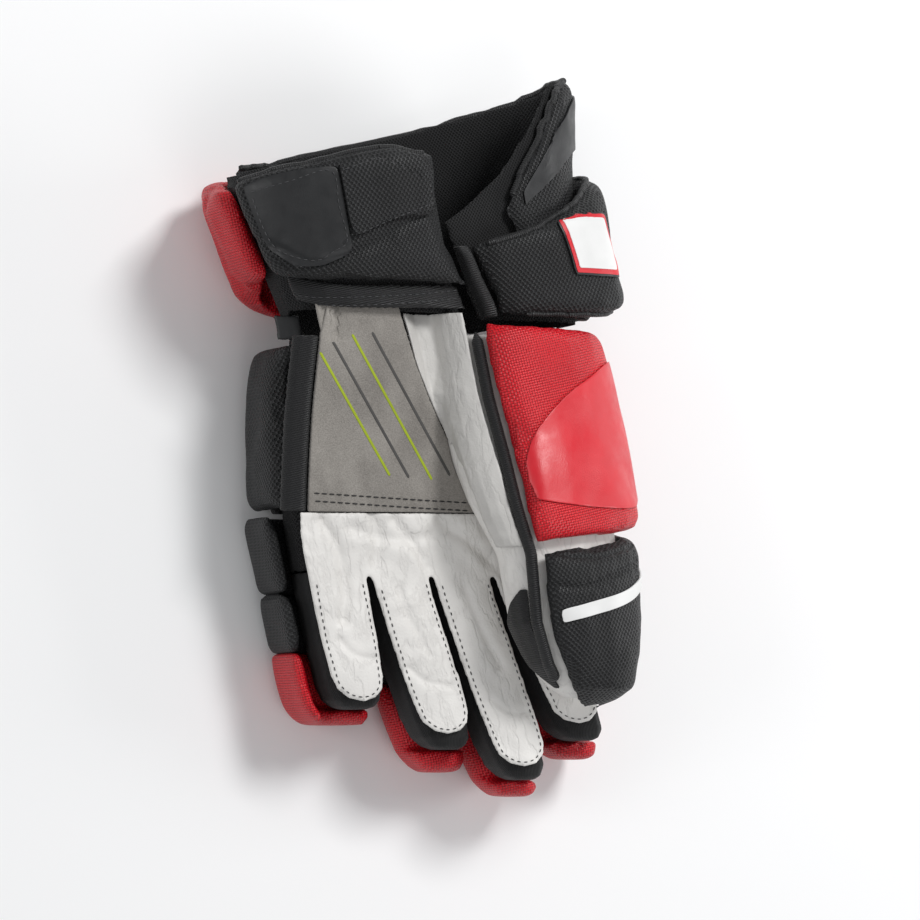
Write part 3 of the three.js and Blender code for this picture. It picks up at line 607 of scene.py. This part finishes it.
def leather(name, colour, shade, grainSize=1.1, grainDepth=0.12, crease=0.5):
    material, tree, shader = newMaterial(name)
    place = addNode(tree, "ShaderNodeTexCoord").outputs["Object"]
    pebbles = addNode(tree, "ShaderNodeTexVoronoi", {"Vector": place, "Scale": 1000 / grainSize},
                      feature="SMOOTH_F1").outputs["Distance"]
    creases = cloudNoise(tree, 120, 5, (1.0, 0.35, 1.0))
    folds = math1(tree, "ABSOLUTE", math1(tree, "SUBTRACT", creases, 0.5))
    valley = rise(tree, folds, 0.0, 0.05)
    tone = rise(tree, cloudNoise(tree, 25, 4), 0.3, 0.7)
    base = blendColours(tree, tone, tuple(0.93 * value for value in colour), colour)
    # Along the crease lines the colour blends toward the shade colour: painted shade, with some dirt.
    tree.links.new(blendColours(tree, rise(tree, valley, 0, 1, 0.85, 1.0), shade, base), shader.inputs["Base Color"])
    grain = bumpFrom(tree, pebbles, grainDepth)
    tree.links.new(bumpFrom(tree, valley, 0.16 * crease, 1.0, grain), shader.inputs["Normal"])
    shader.inputs["Roughness"].default_value = 0.52
    shader.inputs["Specular IOR Level"].default_value = 0.4
    return material


def suedeCloth(name, light, dark):
    material, tree, shader = newMaterial(name)
    nap = cloudNoise(tree, 1400, 5)
    clouds = cloudNoise(tree, 70, 5, (1.0, 0.5, 1.0))
    shares = math1(tree, "ADD", math1(tree, "MULTIPLY", rise(tree, nap, 0.3, 0.7), 0.55),
                   math1(tree, "MULTIPLY", rise(tree, clouds, 0.35, 0.65), 0.45))
    tree.links.new(blendColours(tree, shares, dark, light), shader.inputs["Base Color"])
    coarse = bumpFrom(tree, clouds, 0.3)
    tree.links.new(bumpFrom(tree, nap, 0.25, 1.0, coarse), shader.inputs["Normal"])
    shader.inputs["Roughness"].default_value = 0.95
    shader.inputs["Sheen Weight"].default_value = 0.35
    shader.inputs["Sheen Roughness"].default_value = 0.5
    shader.inputs["Specular IOR Level"].default_value = 0.15
    return material


# Ribs across the length of a tape or of stretch cloth.
def ribbedCloth(name, colour, pitch=1.0, relief=0.3, roughness=0.6, across=False):
    material, tree, shader = newMaterial(name)
    split = addNode(tree, "ShaderNodeSeparateXYZ", {0: clothCoordinates(tree, pitch)})
    wave = math1(tree, "SINE", math1(tree, "MULTIPLY", split.outputs[0 if across else 1], 2 * math.pi))
    ridge = rise(tree, wave, -1, 1)
    tone = rise(tree, cloudNoise(tree, 80, 3), 0.3, 0.7)
    base = blendColours(tree, tone, tuple(0.8 * value for value in colour), tuple(1.2 * value for value in colour))
    # The grooves between the ribs are coloured at half brightness: painted shade.
    tree.links.new(blendColours(tree, ridge, tuple(0.5 * value for value in colour), base), shader.inputs["Base Color"])
    fibre = bumpFrom(tree, cloudNoise(tree, 2500, 2), 0.06)
    tree.links.new(bumpFrom(tree, ridge, relief, 1.0, fibre), shader.inputs["Normal"])
    shader.inputs["Roughness"].default_value = roughness
    shader.inputs["Sheen Weight"].default_value = 0.05
    return material


blackMesh = meshCloth("black honeycomb mesh", (0.0008, 0.0008, 0.001), (0.0105, 0.011, 0.012))
liningCloth = meshCloth("dark lining mesh", (0.003, 0.003, 0.003), (0.010, 0.010, 0.011), 1.7, 0.8)
redWeave = wovenCloth("red ballistic weave", (0.17, 0.001, 0.004), (0.74, 0.003, 0.014), 1.3)
redFilm = smoothFilm("light red film", (0.66, 0.016, 0.028), 0.34, 0.10)
blackFilm = smoothFilm("satin black film", (0.012, 0.0125, 0.0135), 0.40)
whiteFilm = smoothFilm("white film", (0.80, 0.80, 0.79), 0.42)
whiteLeather = leather("soft white leather", (0.80, 0.78, 0.75), (0.46, 0.44, 0.42), crease=1.4)
paleLeather = leather("light grey leather", (0.60, 0.585, 0.56), (0.38, 0.37, 0.35), 0.9, 0.10, 0.9)
greySuede = suedeCloth("warm grey suede", (0.34, 0.318, 0.29), (0.17, 0.157, 0.142))
stretchCloth = ribbedCloth("matte black stretch cloth", (0.0045, 0.0045, 0.005), 0.8, 0.15, 0.8, True)
blackTape = ribbedCloth("ribbed black tape", (0.0065, 0.0065, 0.0072), 1.1, 0.32, 0.5)
blackThread = smoothFilm("black thread", (0.010, 0.010, 0.011), 0.5)
greyThread = smoothFilm("dark grey thread", (0.055, 0.055, 0.058), 0.5)
greenPrint = smoothFilm("yellow green print", (0.36, 0.45, 0.012), 0.6)
greyPrint = smoothFilm("dark grey print", (0.075, 0.072, 0.068), 0.7)
print("materials made")


# Padded pieces: a remeshed copy of each solid, stuffed by a cloth simulation, with its cap in millimetres.
pads = {
    "cuff_palm_pad": {"material": blackMesh, "slot": "black_mesh", "levels": 1, "cap": 2.5, "fill": 0.6},
    "cuff_back_pad": {"material": blackMesh, "slot": "black_mesh", "levels": 1, "cap": 2.0, "fill": 0.6},
    "cuff_roll": {"material": blackMesh, "slot": "black_mesh", "levels": 1, "cap": 3.0, "fill": 0.7},
    "cuff_side_roll": {"material": redWeave, "slot": "red_weave", "levels": 1, "cap": 2.5, "fill": 0.7},
    "pinky_side_pad": {"material": blackMesh, "slot": "black_mesh", "levels": 1, "cap": 2.0, "fill": 0.6},
    "thumb_outer_pad": {"material": redWeave, "slot": "red_weave", "levels": 1, "cap": 2.5, "fill": 0.7},
    "thumb_tip_pad": {"material": blackMesh, "slot": "black_mesh", "levels": 1, "cap": 2.5, "fill": 0.7},
}
for row in ("upper", "middle", "lower"):
    pads[f"backhand_pad_{row}"] = {"material": blackMesh, "slot": "black_mesh", "levels": 1, "cap": 0.8, "fill": 0.7}
for finger in strips:
    for part in ("knuckle", "middle", "tip"):
        red = part == "tip"
        pads[f"{finger}_{part}_pad"] = {"material": redWeave if red else blackMesh,
                                        "slot": "red_weave" if red else "black_mesh",
                                        "levels": 1, "cap": 1.6, "fill": 0.7, "swell": 1.3}
stuffing = {"voxel": 2.6, "shrink": 0.6, "pressure": 4.0, "frames": 20}


def makePads():
    made = {}
    starts = {}
    for node, spec in pads.items():
        piece = voxelCopy(node, f"{node}_cloth", stuffing["voxel"], 1)
        movePoints(piece, pointsOf(piece) - normalsOf(piece) * stuffing["shrink"] * mm)
        made[node] = piece
        starts[node] = pointsOf(piece)
    for node, piece in made.items():
        cloth = piece.modifiers.new("stuffing", "CLOTH")
        cloth.settings.quality = 4
        cloth.settings.mass = 0.3
        cloth.settings.use_pressure = True
        cloth.settings.uniform_pressure_force = stuffing["pressure"]
        cloth.settings.tension_stiffness = 12
        cloth.settings.bending_stiffness = 0.6
        cloth.settings.effector_weights.gravity = 0
        cloth.collision_settings.use_collision = False
        cloth.point_cache.frame_end = stuffing["frames"]
    for step in range(1, stuffing["frames"] + 1):
        bpy.context.scene.frame_set(step)
    for node, piece in made.items():
        applyModifier(piece, "stuffing")
        moved = pointsOf(piece) - starts[node]
        size = np.linalg.norm(moved, axis=1)
        cap = pads[node]["cap"] * mm
        held = moved * np.minimum(1, cap / np.maximum(size, 1e-9))[:, None]
        movePoints(piece, starts[node] + held)
    bpy.context.scene.frame_set(1)
    for node, piece in made.items():
        points = pointsOf(piece) + normalsOf(piece) * pads[node].get("swell", 0) * mm
        points[:, 2] = np.maximum(points[:, 2], 0.0003)
        movePoints(piece, points)
        subdivided(piece, pads[node]["levels"])
    return made


pieces = makePads()
print("pads stuffed")


# Thin shells and sheets: a finely remeshed copy keeps both faces.
sheets = {
    "palm_suede": {"material": greySuede, "slot": "suede", "voxel": 0.6, "thicken": 0.35},
    "palm_leather": {"material": whiteLeather, "slot": "white_leather", "voxel": 0.85},
    "thumb_web": {"material": paleLeather, "slot": "pale_leather", "voxel": 0.6, "thicken": 0.3},
    "thumb_leather": {"material": whiteLeather, "slot": "white_leather", "voxel": 1.3},
    "hand_liner": {"material": liningCloth, "slot": "lining", "voxel": 1.5},
    "cuff_lining": {"material": liningCloth, "slot": "lining", "voxel": 1.4},
    "palm_binding": {"material": blackTape, "slot": "tape", "voxel": 1.0},
    "cuff_seam_tape": {"material": blackTape, "slot": "tape", "voxel": 1.0},
    "label_tab": {"material": blackFilm, "slot": "black_satin", "voxel": 0.7},
}
for finger in strips:
    sheets[f"{finger}_sleeve"] = {"material": stretchCloth, "slot": "stretch", "voxel": 1.2}
for node, spec in sheets.items():
    pieces[node] = voxelCopy(node, f"{node}_cloth", spec["voxel"], 4, spec.get("thicken", 0))
print("sheets made")


# Flat trims lie on their pad: the outer face of the solid, wrapped on the pad and given its thickness.
trims = {
    "cuff_hem": {"on": "cuff_palm_pad", "material": blackTape, "slot": "tape", "thickness": 1.6, "own": True},
    "cuff_strap": {"on": "cuff_palm_pad", "material": blackMesh, "slot": "black_mesh", "thickness": 3.4},
    "cuff_patch": {"on": "cuff_palm_pad", "material": blackFilm, "slot": "black_satin", "thickness": 1.3},
    "cuff_back_trim": {"on": "cuff_back_pad", "material": blackFilm, "slot": "black_satin", "thickness": 1.0},
    "cuff_roll_patch": {"on": "cuff_roll", "material": blackFilm, "slot": "black_satin", "thickness": 1.2},
    "thumb_overlay": {"on": "thumb_outer_pad", "material": redFilm, "slot": "red_satin", "thickness": 0.9},
    "thumb_stripe": {"on": "thumb_tip_pad", "material": whiteFilm, "slot": "white_satin", "thickness": 0.9},
    "thumb_grip": {"on": "thumb_leather", "material": blackTape, "slot": "tape", "thickness": 1.0},
}


def layTrim(node, spec):
    piece = copyOfNode(node, spec.get("name", f"{node}_cloth"))
    carrier = pieces[spec["on"]]
    tree = treeOf(carrier)
    outer = set()
    for face in piece.data.polygons:
        place, _, _, _ = tree.find_nearest(face.center)
        away = (face.center - place).normalized()
        if face.normal.dot(away) > 0.35:
            outer.add(face.index)
    editAll(piece)
    bpy.ops.mesh.select_all(action="DESELECT")
    bpy.ops.mesh.select_mode(type="FACE")
    leaveEdit()
    for face in piece.data.polygons:
        face.select = face.index not in outer
    pick(piece)
    bpy.ops.object.mode_set(mode="EDIT")
    bpy.ops.mesh.delete(type="FACE")
    bpy.ops.mesh.select_all(action="SELECT")
    bpy.ops.mesh.tris_convert_to_quads()
    leaveEdit()
    corners = pointsOf(piece)
    middle = corners.mean(axis=0)
    movePoints(piece, middle + (corners - middle) * spec.get("scale", 1))
    subdivided(piece, 3)
    wrap = piece.modifiers.new("wrap", "SHRINKWRAP")
    wrap.target = carrier
    wrap.wrap_method = "NEAREST_SURFACEPOINT"
    wrap.wrap_mode = "ABOVE_SURFACE"
    wrap.offset = 0.25 * mm
    applyModifier(piece, "wrap")
    even = piece.modifiers.new("even", "SMOOTH")
    even.iterations = 2
    applyModifier(piece, "even")
    wall = piece.modifiers.new("wall", "SOLIDIFY")
    wall.thickness = spec["thickness"] * mm
    wall.offset = 1
    applyModifier(piece, "wall")
    edge = piece.modifiers.new("edge", "BEVEL")
    edge.width = 0.3 * spec["thickness"] * mm
    edge.segments = 2
    applyModifier(piece, "edge")
    return piece


# Seams pressed into the pads before their trims are sewn.
palmPadTree = treeOf(pieces["cuff_palm_pad"])
bandPixels = ((222, 214), (240, 232), (262, 243), (280, 248), (316, 262), (371, 246), (400, 228), (439, 206))
bandEdge = seenLine(bandPixels, palmPadTree)
sewSeam(pieces["cuff_palm_pad"], bandEdge, 2.0, 1.2, 0.1, 9)
# Seams across the thumb's tip, as seen.
tipSeams = (
    ((551, 552), (590, 557), (625, 549), (641, 540)),
    ((556, 586), (590, 586), (628, 568), (641, 557)),
)
for pixels in tipSeams:
    sewSeam(pieces["thumb_tip_pad"], seenLine(pixels, treeOf(pieces["thumb_tip_pad"])), 1.3, 1.3, 0.3, 7)
# Unevenness of the large pads: size, height and seed.
padRuffles = {
    "cuff_palm_pad": (18, 0.6, 21),
    "cuff_roll": (18, 1.0, 22),
    "cuff_back_pad": (16, 0.7, 23),
    "thumb_outer_pad": (18, 0.4, 24),
    "thumb_tip_pad": (12, 0.6, 25),
    "cuff_side_roll": (12, 0.6, 26),
    "pinky_side_pad": (14, 0.6, 27),
}
for node, (size, height, seed) in padRuffles.items():
    ruffle(pieces[node], size, height, seed)


for node, spec in trims.items():
    if spec.get("own"):
        pieces[node] = voxelCopy(node, f"{node}_cloth", 0.9, 4)
    else:
        pieces[node] = layTrim(node, spec)
# The roll's patch carries a plain white film with a red rim.
patchFilms = {
    "roll_patch_rim": {"on": "cuff_roll", "material": redFilm, "slot": "red_satin", "thickness": 1.5, "scale": 0.94},
    "roll_patch_face": {"on": "cuff_roll", "material": whiteFilm, "slot": "white_satin", "thickness": 1.8, "scale": 0.80},
}
for name, spec in patchFilms.items():
    finishPiece(layTrim("cuff_roll_patch", {**spec, "name": name}), spec["material"])
print("trims laid")


def smoothStep(values, low, high):
    share = np.clip((values - low) / (high - low), 0, 1)
    return share * share * (3 - 2 * share)


def stripCentre(strip, along):
    share = np.maximum(0, (-0.68 - along) / (-0.68 - strip["tip"]))
    return strip["root"] + (strip["end"] - strip["root"]) * share


leatherShape = {"half": 0.134, "dome": 2.0, "sink": 1.0, "tipDrop": 2.2,
                "swell": 1.7, "swellSize": 22, "fine": 0.6, "fineSize": 7}
# Folds of the white leather, as seen: pixels, width and depth in millimetres.
leatherFolds = (
    {"pixels": ((322, 520), (338, 548), (346, 585), (344, 620)), "width": 3.0, "depth": 2.2},
    {"pixels": ((372, 516), (380, 538), (376, 560)), "width": 3.4, "depth": 2.0},
    {"pixels": ((395, 520), (414, 545), (428, 566)), "width": 3.0, "depth": 2.0},
    {"pixels": ((440, 520), (468, 540), (490, 562)), "width": 3.0, "depth": 2.0},
    {"pixels": ((352, 528), (400, 540), (450, 530)), "width": 3.4, "depth": 1.6},
    {"pixels": ((400, 590), (412, 622), (430, 655)), "width": 2.4, "depth": 1.2},
    {"pixels": ((466, 590), (480, 625), (500, 665)), "width": 2.4, "depth": 1.2},
    {"pixels": ((340, 640), (356, 655), (378, 660)), "width": 1.8, "depth": 1.0},
    {"pixels": ((410, 668), (428, 682), (452, 686)), "width": 1.8, "depth": 1.0},
    {"pixels": ((492, 700), (510, 712), (530, 712)), "width": 1.8, "depth": 1.0},
)


def shapeLeather():
    piece = pieces["palm_leather"]
    points = pointsOf(piece)
    across, along = planShares(points)
    shape = leatherShape
    lift = np.zeros(len(points))
    inStrips = 1 - smoothStep(along, -0.86, -0.70)
    for strip in strips.values():
        away = np.abs(across - stripCentre(strip, along)) / shape["half"]
        mine = away < 1.12
        dome = shape["dome"] * (1 - np.minimum(away, 1.1) ** 2) - shape["sink"]
        lift[mine] = (dome * inStrips)[mine]
        nearTip = np.clip((strip["strip"] + 0.22 - along) / 0.22, 0, 1) ** 2
        lift[mine] -= (shape["tipDrop"] * nearTip)[mine]
    upper = smoothStep(along, -0.80, -0.55) * (1 - smoothStep(along, -0.44, -0.38))
    flat = points * np.array([1, 1, 0])
    lift += cloudValues(flat, shape["swellSize"], 3) * shape["swell"] * (0.5 + upper)
    lift += cloudValues(flat, shape["fineSize"], 5) * shape["fine"]
    points[:, 2] += lift * mm
    movePoints(piece, points)
    tree = treeOf(piece)
    for fold in leatherFolds:
        sewSeam(piece, seenLine(fold["pixels"], tree), fold["width"], fold["depth"], 0.0, 6.0, (0, 0, 1))


shapeLeather()
# Unevenness of the stretched sheets, always outward: size, height and seed.
sheetRuffle = {"base": 0.25, "gain": 1.6}
for node, size, height, seed in (("palm_suede", 26, 0.9, 7), ("thumb_web", 14, 1.0, 9), ("thumb_web", 5, 0.35, 10)):
    piece = pieces[node]
    points = pointsOf(piece)
    outward = sheetRuffle["base"] + np.maximum(0, cloudValues(points * np.array([1, 1, 0]), size, seed))
    points[:, 2] += outward * sheetRuffle["gain"] * height * mm
    movePoints(piece, points)
# The linings lie a little under the palm's sheets.
liningDrop = {"drop": 5, "level": (0.055, 0.062), "start": (0.10, 0.30), "end": (0.75, 0.85)}
for node in ("hand_liner", "cuff_lining"):
    points = pointsOf(pieces[node])
    along = planShares(points)[1]
    above = smoothStep(points[:, 2], *liningDrop["level"]) * smoothStep(along, *liningDrop["start"])
    under = 1 - smoothStep(along, *liningDrop["end"])
    points[:, 2] -= liningDrop["drop"] * mm * above * under
    movePoints(pieces[node], points)
# The sheets run on up under the cuff, and the hem meets its pad: reach in millimetres.
cuffReach = (
    {"piece": "thumb_web", "from": 0.36, "to": 0.50, "reach": 14},
    {"piece": "palm_suede", "from": 0.50, "to": 0.67, "reach": 5},
    {"piece": "cuff_hem", "from": 0.68, "to": 0.78, "reach": 3.5},
)
for spec in cuffReach:
    points = pointsOf(pieces[spec["piece"]])
    stretch = smoothStep(planShares(points)[1], spec["from"], spec["to"])
    points[:, 1] += spec["reach"] * mm * stretch
    movePoints(pieces[spec["piece"]], points)
sleeveWrinkles = {"across": 0.4, "size": 4.5, "height": 0.7, "seed": 11}
for finger in strips:
    sleeve = pieces[f"{finger}_sleeve"]
    points = pointsOf(sleeve)
    drawn = points * np.array([sleeveWrinkles["across"], 1, 0])
    wrinkles = cloudValues(drawn, sleeveWrinkles["size"], sleeveWrinkles["seed"])
    points[:, 2] += wrinkles * sleeveWrinkles["height"] * mm
    movePoints(sleeve, points)
print("leather shaped")


for node, spec in {**pads, **sheets, **trims}.items():
    finishPiece(pieces[node], spec["material"], [node])


# An added facing hides a slot in the suede's upper corner: middle in pixels, sizes in millimetres.
facingShape = {"pixel": (334, 322), "level": 76.6, "wide": 15, "long": 27, "under": 0.5, "wall": 0.8}


def makeFacing():
    spec = facingShape
    tree = treeOf(pieces["palm_suede"])
    start = camera.location
    reach = pixelPlace(*spec["pixel"]) - start
    middle = start + reach * ((spec["level"] * mm - start.z) / reach.z)
    deselectAll()
    bpy.ops.mesh.primitive_grid_add(x_subdivisions=12, y_subdivisions=20, size=1)
    facing = bpy.context.active_object
    facing.name = "suede_facing"
    points = pointsOf(facing) * np.array([spec["wide"], spec["long"], 0]) * mm + np.array(middle)
    for point in points:
        nearest, _, _, _ = tree.find_nearest(Vector(point))
        point[2] = nearest.z - spec["under"] * mm
    movePoints(facing, points)
    wall = facing.modifiers.new("wall", "SOLIDIFY")
    wall.thickness = spec["wall"] * mm
    wall.offset = -1
    applyModifier(facing, "wall")
    finishPiece(facing, greySuede)


makeFacing()


# Bindings round the pads' edges.
bindings = {
    "back_pad_binding": {"on": "cuff_back_pad", "rings": cuffRings, "out": 4.0, "radius": 1.7,
                         "spots": spread(64, -138, [1.25, 1.62, 1.92, 1.96, 1.92, 1.85, 1.78, 1.70, 1.60, 1.50, 1.44])},
    "roll_top_binding": {"on": "cuff_roll", "rings": cuffRings, "out": 14.0, "radius": 1.7,
                         "spots": spread(82, -95, [1.03, 1.22, 1.43, 1.47, 1.47, 1.47])},
    "roll_low_binding": {"on": "cuff_roll", "rings": cuffRings, "out": 14.0, "radius": 1.5,
                         "spots": spread(82, -95, [0.52, 0.55, 0.60, 0.60, 0.57, 0.55])},
    "palm_pad_binding": {"on": "cuff_palm_pad", "rings": cuffRings, "out": 5.0, "radius": 1.5,
                         "spots": spread(88, 163, [1.50, 1.54, 1.50, 1.47, 1.44, 1.41, 1.38, 1.36, 1.33])},
}
for name, spec in bindings.items():
    line = ringLine(spec["rings"], spec["spots"], spec["out"], treeOf(pieces[spec["on"]]))
    tubeAlong(name, line, spec["radius"], blackTape, 0.2)
print("bindings sewn")


thumbCord = {"angles": (138, 138, 139, 140, 141, 143), "alongs": (0.54, 0.25, -0.10, -0.50, -0.95, -1.24),
             "out": 3.2, "radius": 3.0}
cordLine = []
cordSpots = smoothLine(list(zip(thumbCord["angles"], thumbCord["alongs"])), 0.05)
for angle, along in cordSpots:
    place = ringPoint(thumbRings, angle, along, thumbCord["out"])
    cordLine.append((place, (place - ringPoint(thumbRings, angle, along, 0)).normalized()))
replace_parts(tubeAlong("thumb_piping_cord", cordLine, thumbCord["radius"], blackTape), "thumb_piping")


# Stitches seen on the palm side: pixels, the piece that carries them, thread, length, pause and thickness.
seenStitches = {
    "patch_stitches": {"on": "cuff_patch", "thread": greyThread,
                       "pixels": ((251, 192), (290, 181), (331, 171), (339, 205), (347, 240), (334, 251), (317, 260),
                                  (292, 256), (273, 245), (260, 220), (252, 196))},
    "strap_stitches": {"on": "cuff_strap", "thread": greyThread,
                       "pixels": ((345, 169), (380, 157), (405, 150), (421, 153), (430, 166),
                                  (437, 196), (425, 206), (395, 218), (362, 232))},
    "hem_stitches_upper": {"on": "cuff_hem", "thread": greyThread,
                           "pixels": ((284, 291), (310, 297), (360, 297), (420, 294), (462, 290))},
    "hem_stitches_lower": {"on": "cuff_hem", "thread": greyThread,
                           "pixels": ((286, 298), (310, 304), (360, 305), (420, 302), (462, 298))},
    "suede_stitches_upper": {"on": "palm_suede", "thread": blackThread,
                             "pixels": ((314, 493), (360, 496), (420, 500), (470, 503)),
                             "length": 3.0, "pause": 0.9, "thickness": 0.8},
    "suede_stitches_lower": {"on": "palm_suede", "thread": blackThread,
                             "pixels": ((315, 501), (360, 504), (420, 508), (472, 511)),
                             "length": 3.0, "pause": 0.9, "thickness": 0.8},
}
for name, spec in seenStitches.items():
    line = seenLine(spec["pixels"], treeOf(pieces[spec["on"]]))
    stitchRow(name, line, spec["thread"], spec.get("length", 2.2), spec.get("pause", 1.3), spec.get("thickness", 0.55))


# Dashed stitching inside the edge of each leather strip.
stripStitches = {"inset": 0.112, "endInset": 0.101, "top": -0.74, "shoulder": 0.30, "turn": 0.124}


def stripPath(strip):
    spec = stripStitches
    top = spec["top"]
    shoulder = strip["strip"] + spec["shoulder"]
    path = [(stripCentre(strip, top) + spec["inset"], top), (stripCentre(strip, shoulder) + spec["inset"], shoulder)]
    for step in range(7):
        turn = math.pi * step / 6
        level = strip["strip"] + spec["turn"]
        centre = stripCentre(strip, level)
        path.append((centre + spec["endInset"] * math.cos(turn), level - spec["endInset"] * math.sin(turn)))
    path += [(stripCentre(strip, shoulder) - spec["inset"], shoulder), (stripCentre(strip, top) - spec["inset"], top)]
    return path


leatherTree = treeOf(pieces["palm_leather"])
for finger, strip in strips.items():
    stitchRow(f"{finger}_strip_stitches", planLine(stripPath(strip), leatherTree), blackThread, 2.0, 1.5, 0.6)
print("stitches sewn")


# Plain printed lines on the suede: four slanted lines.
suedePrint = (
    {"colour": greenPrint, "pixels": ((320, 352), (390, 476))},
    {"colour": greyPrint, "pixels": ((331, 338), (409, 478))},
    {"colour": greenPrint, "pixels": ((352, 334), (432, 480))},
    {"colour": greyPrint, "pixels": ((372, 332), (450, 476))},
)
suedeTree = treeOf(pieces["palm_suede"])
for index, spec in enumerate(suedePrint):
    tubeAlong(f"suede_print_{index + 1}", seenLine(spec["pixels"], suedeTree), 0.7, spec["colour"], 0.06, 8, 0.15)


# Floor and light

def makeStage():
    deselectAll()
    bpy.ops.mesh.primitive_plane_add(size=8, location=(0, 0, 0))
    floor = bpy.context.active_object
    floor.name = "floor"
    material, tree, shader = newMaterial("pale floor")
    shader.inputs["Base Color"].default_value = (0.93, 0.93, 0.93, 1)
    shader.inputs["Roughness"].default_value = 0.9
    floor.data.materials.append(material)


lights = {
    "key": {"place": (0.75, 0.75, 1.5), "size": 0.5, "power": 21},
    "front": {"place": (-0.2, -0.9, 1.6), "size": 1.0, "power": 4},
    "side": {"place": (-1.3, 0.3, 0.9), "size": 0.6, "power": 4},
    "rim": {"place": (1.3, -0.3, 0.6), "size": 0.5, "power": 6},
}


def makeLights():
    for name, spec in lights.items():
        data = bpy.data.lights.new(name, "AREA")
        data.size = spec["size"]
        data.energy = spec["power"]
        light = bpy.data.objects.new(name, data)
        bpy.context.collection.objects.link(light)
        light.location = spec["place"]
        light.rotation_mode = "QUATERNION"
        light.rotation_quaternion = (Vector((0, 0, 0.05)) - light.location).to_track_quat("-Z", "Y")
    world = bpy.data.worlds.new("studio")
    bpy.context.scene.world = world
    world.use_nodes = True
    background = world.node_tree.nodes["Background"]
    background.inputs["Color"].default_value = (0.95, 0.97, 1.0, 1)
    background.inputs["Strength"].default_value = 0.30


makeStage()
makeLights()
bpy.context.scene.view_settings.view_transform = "Standard"
print("stage set")
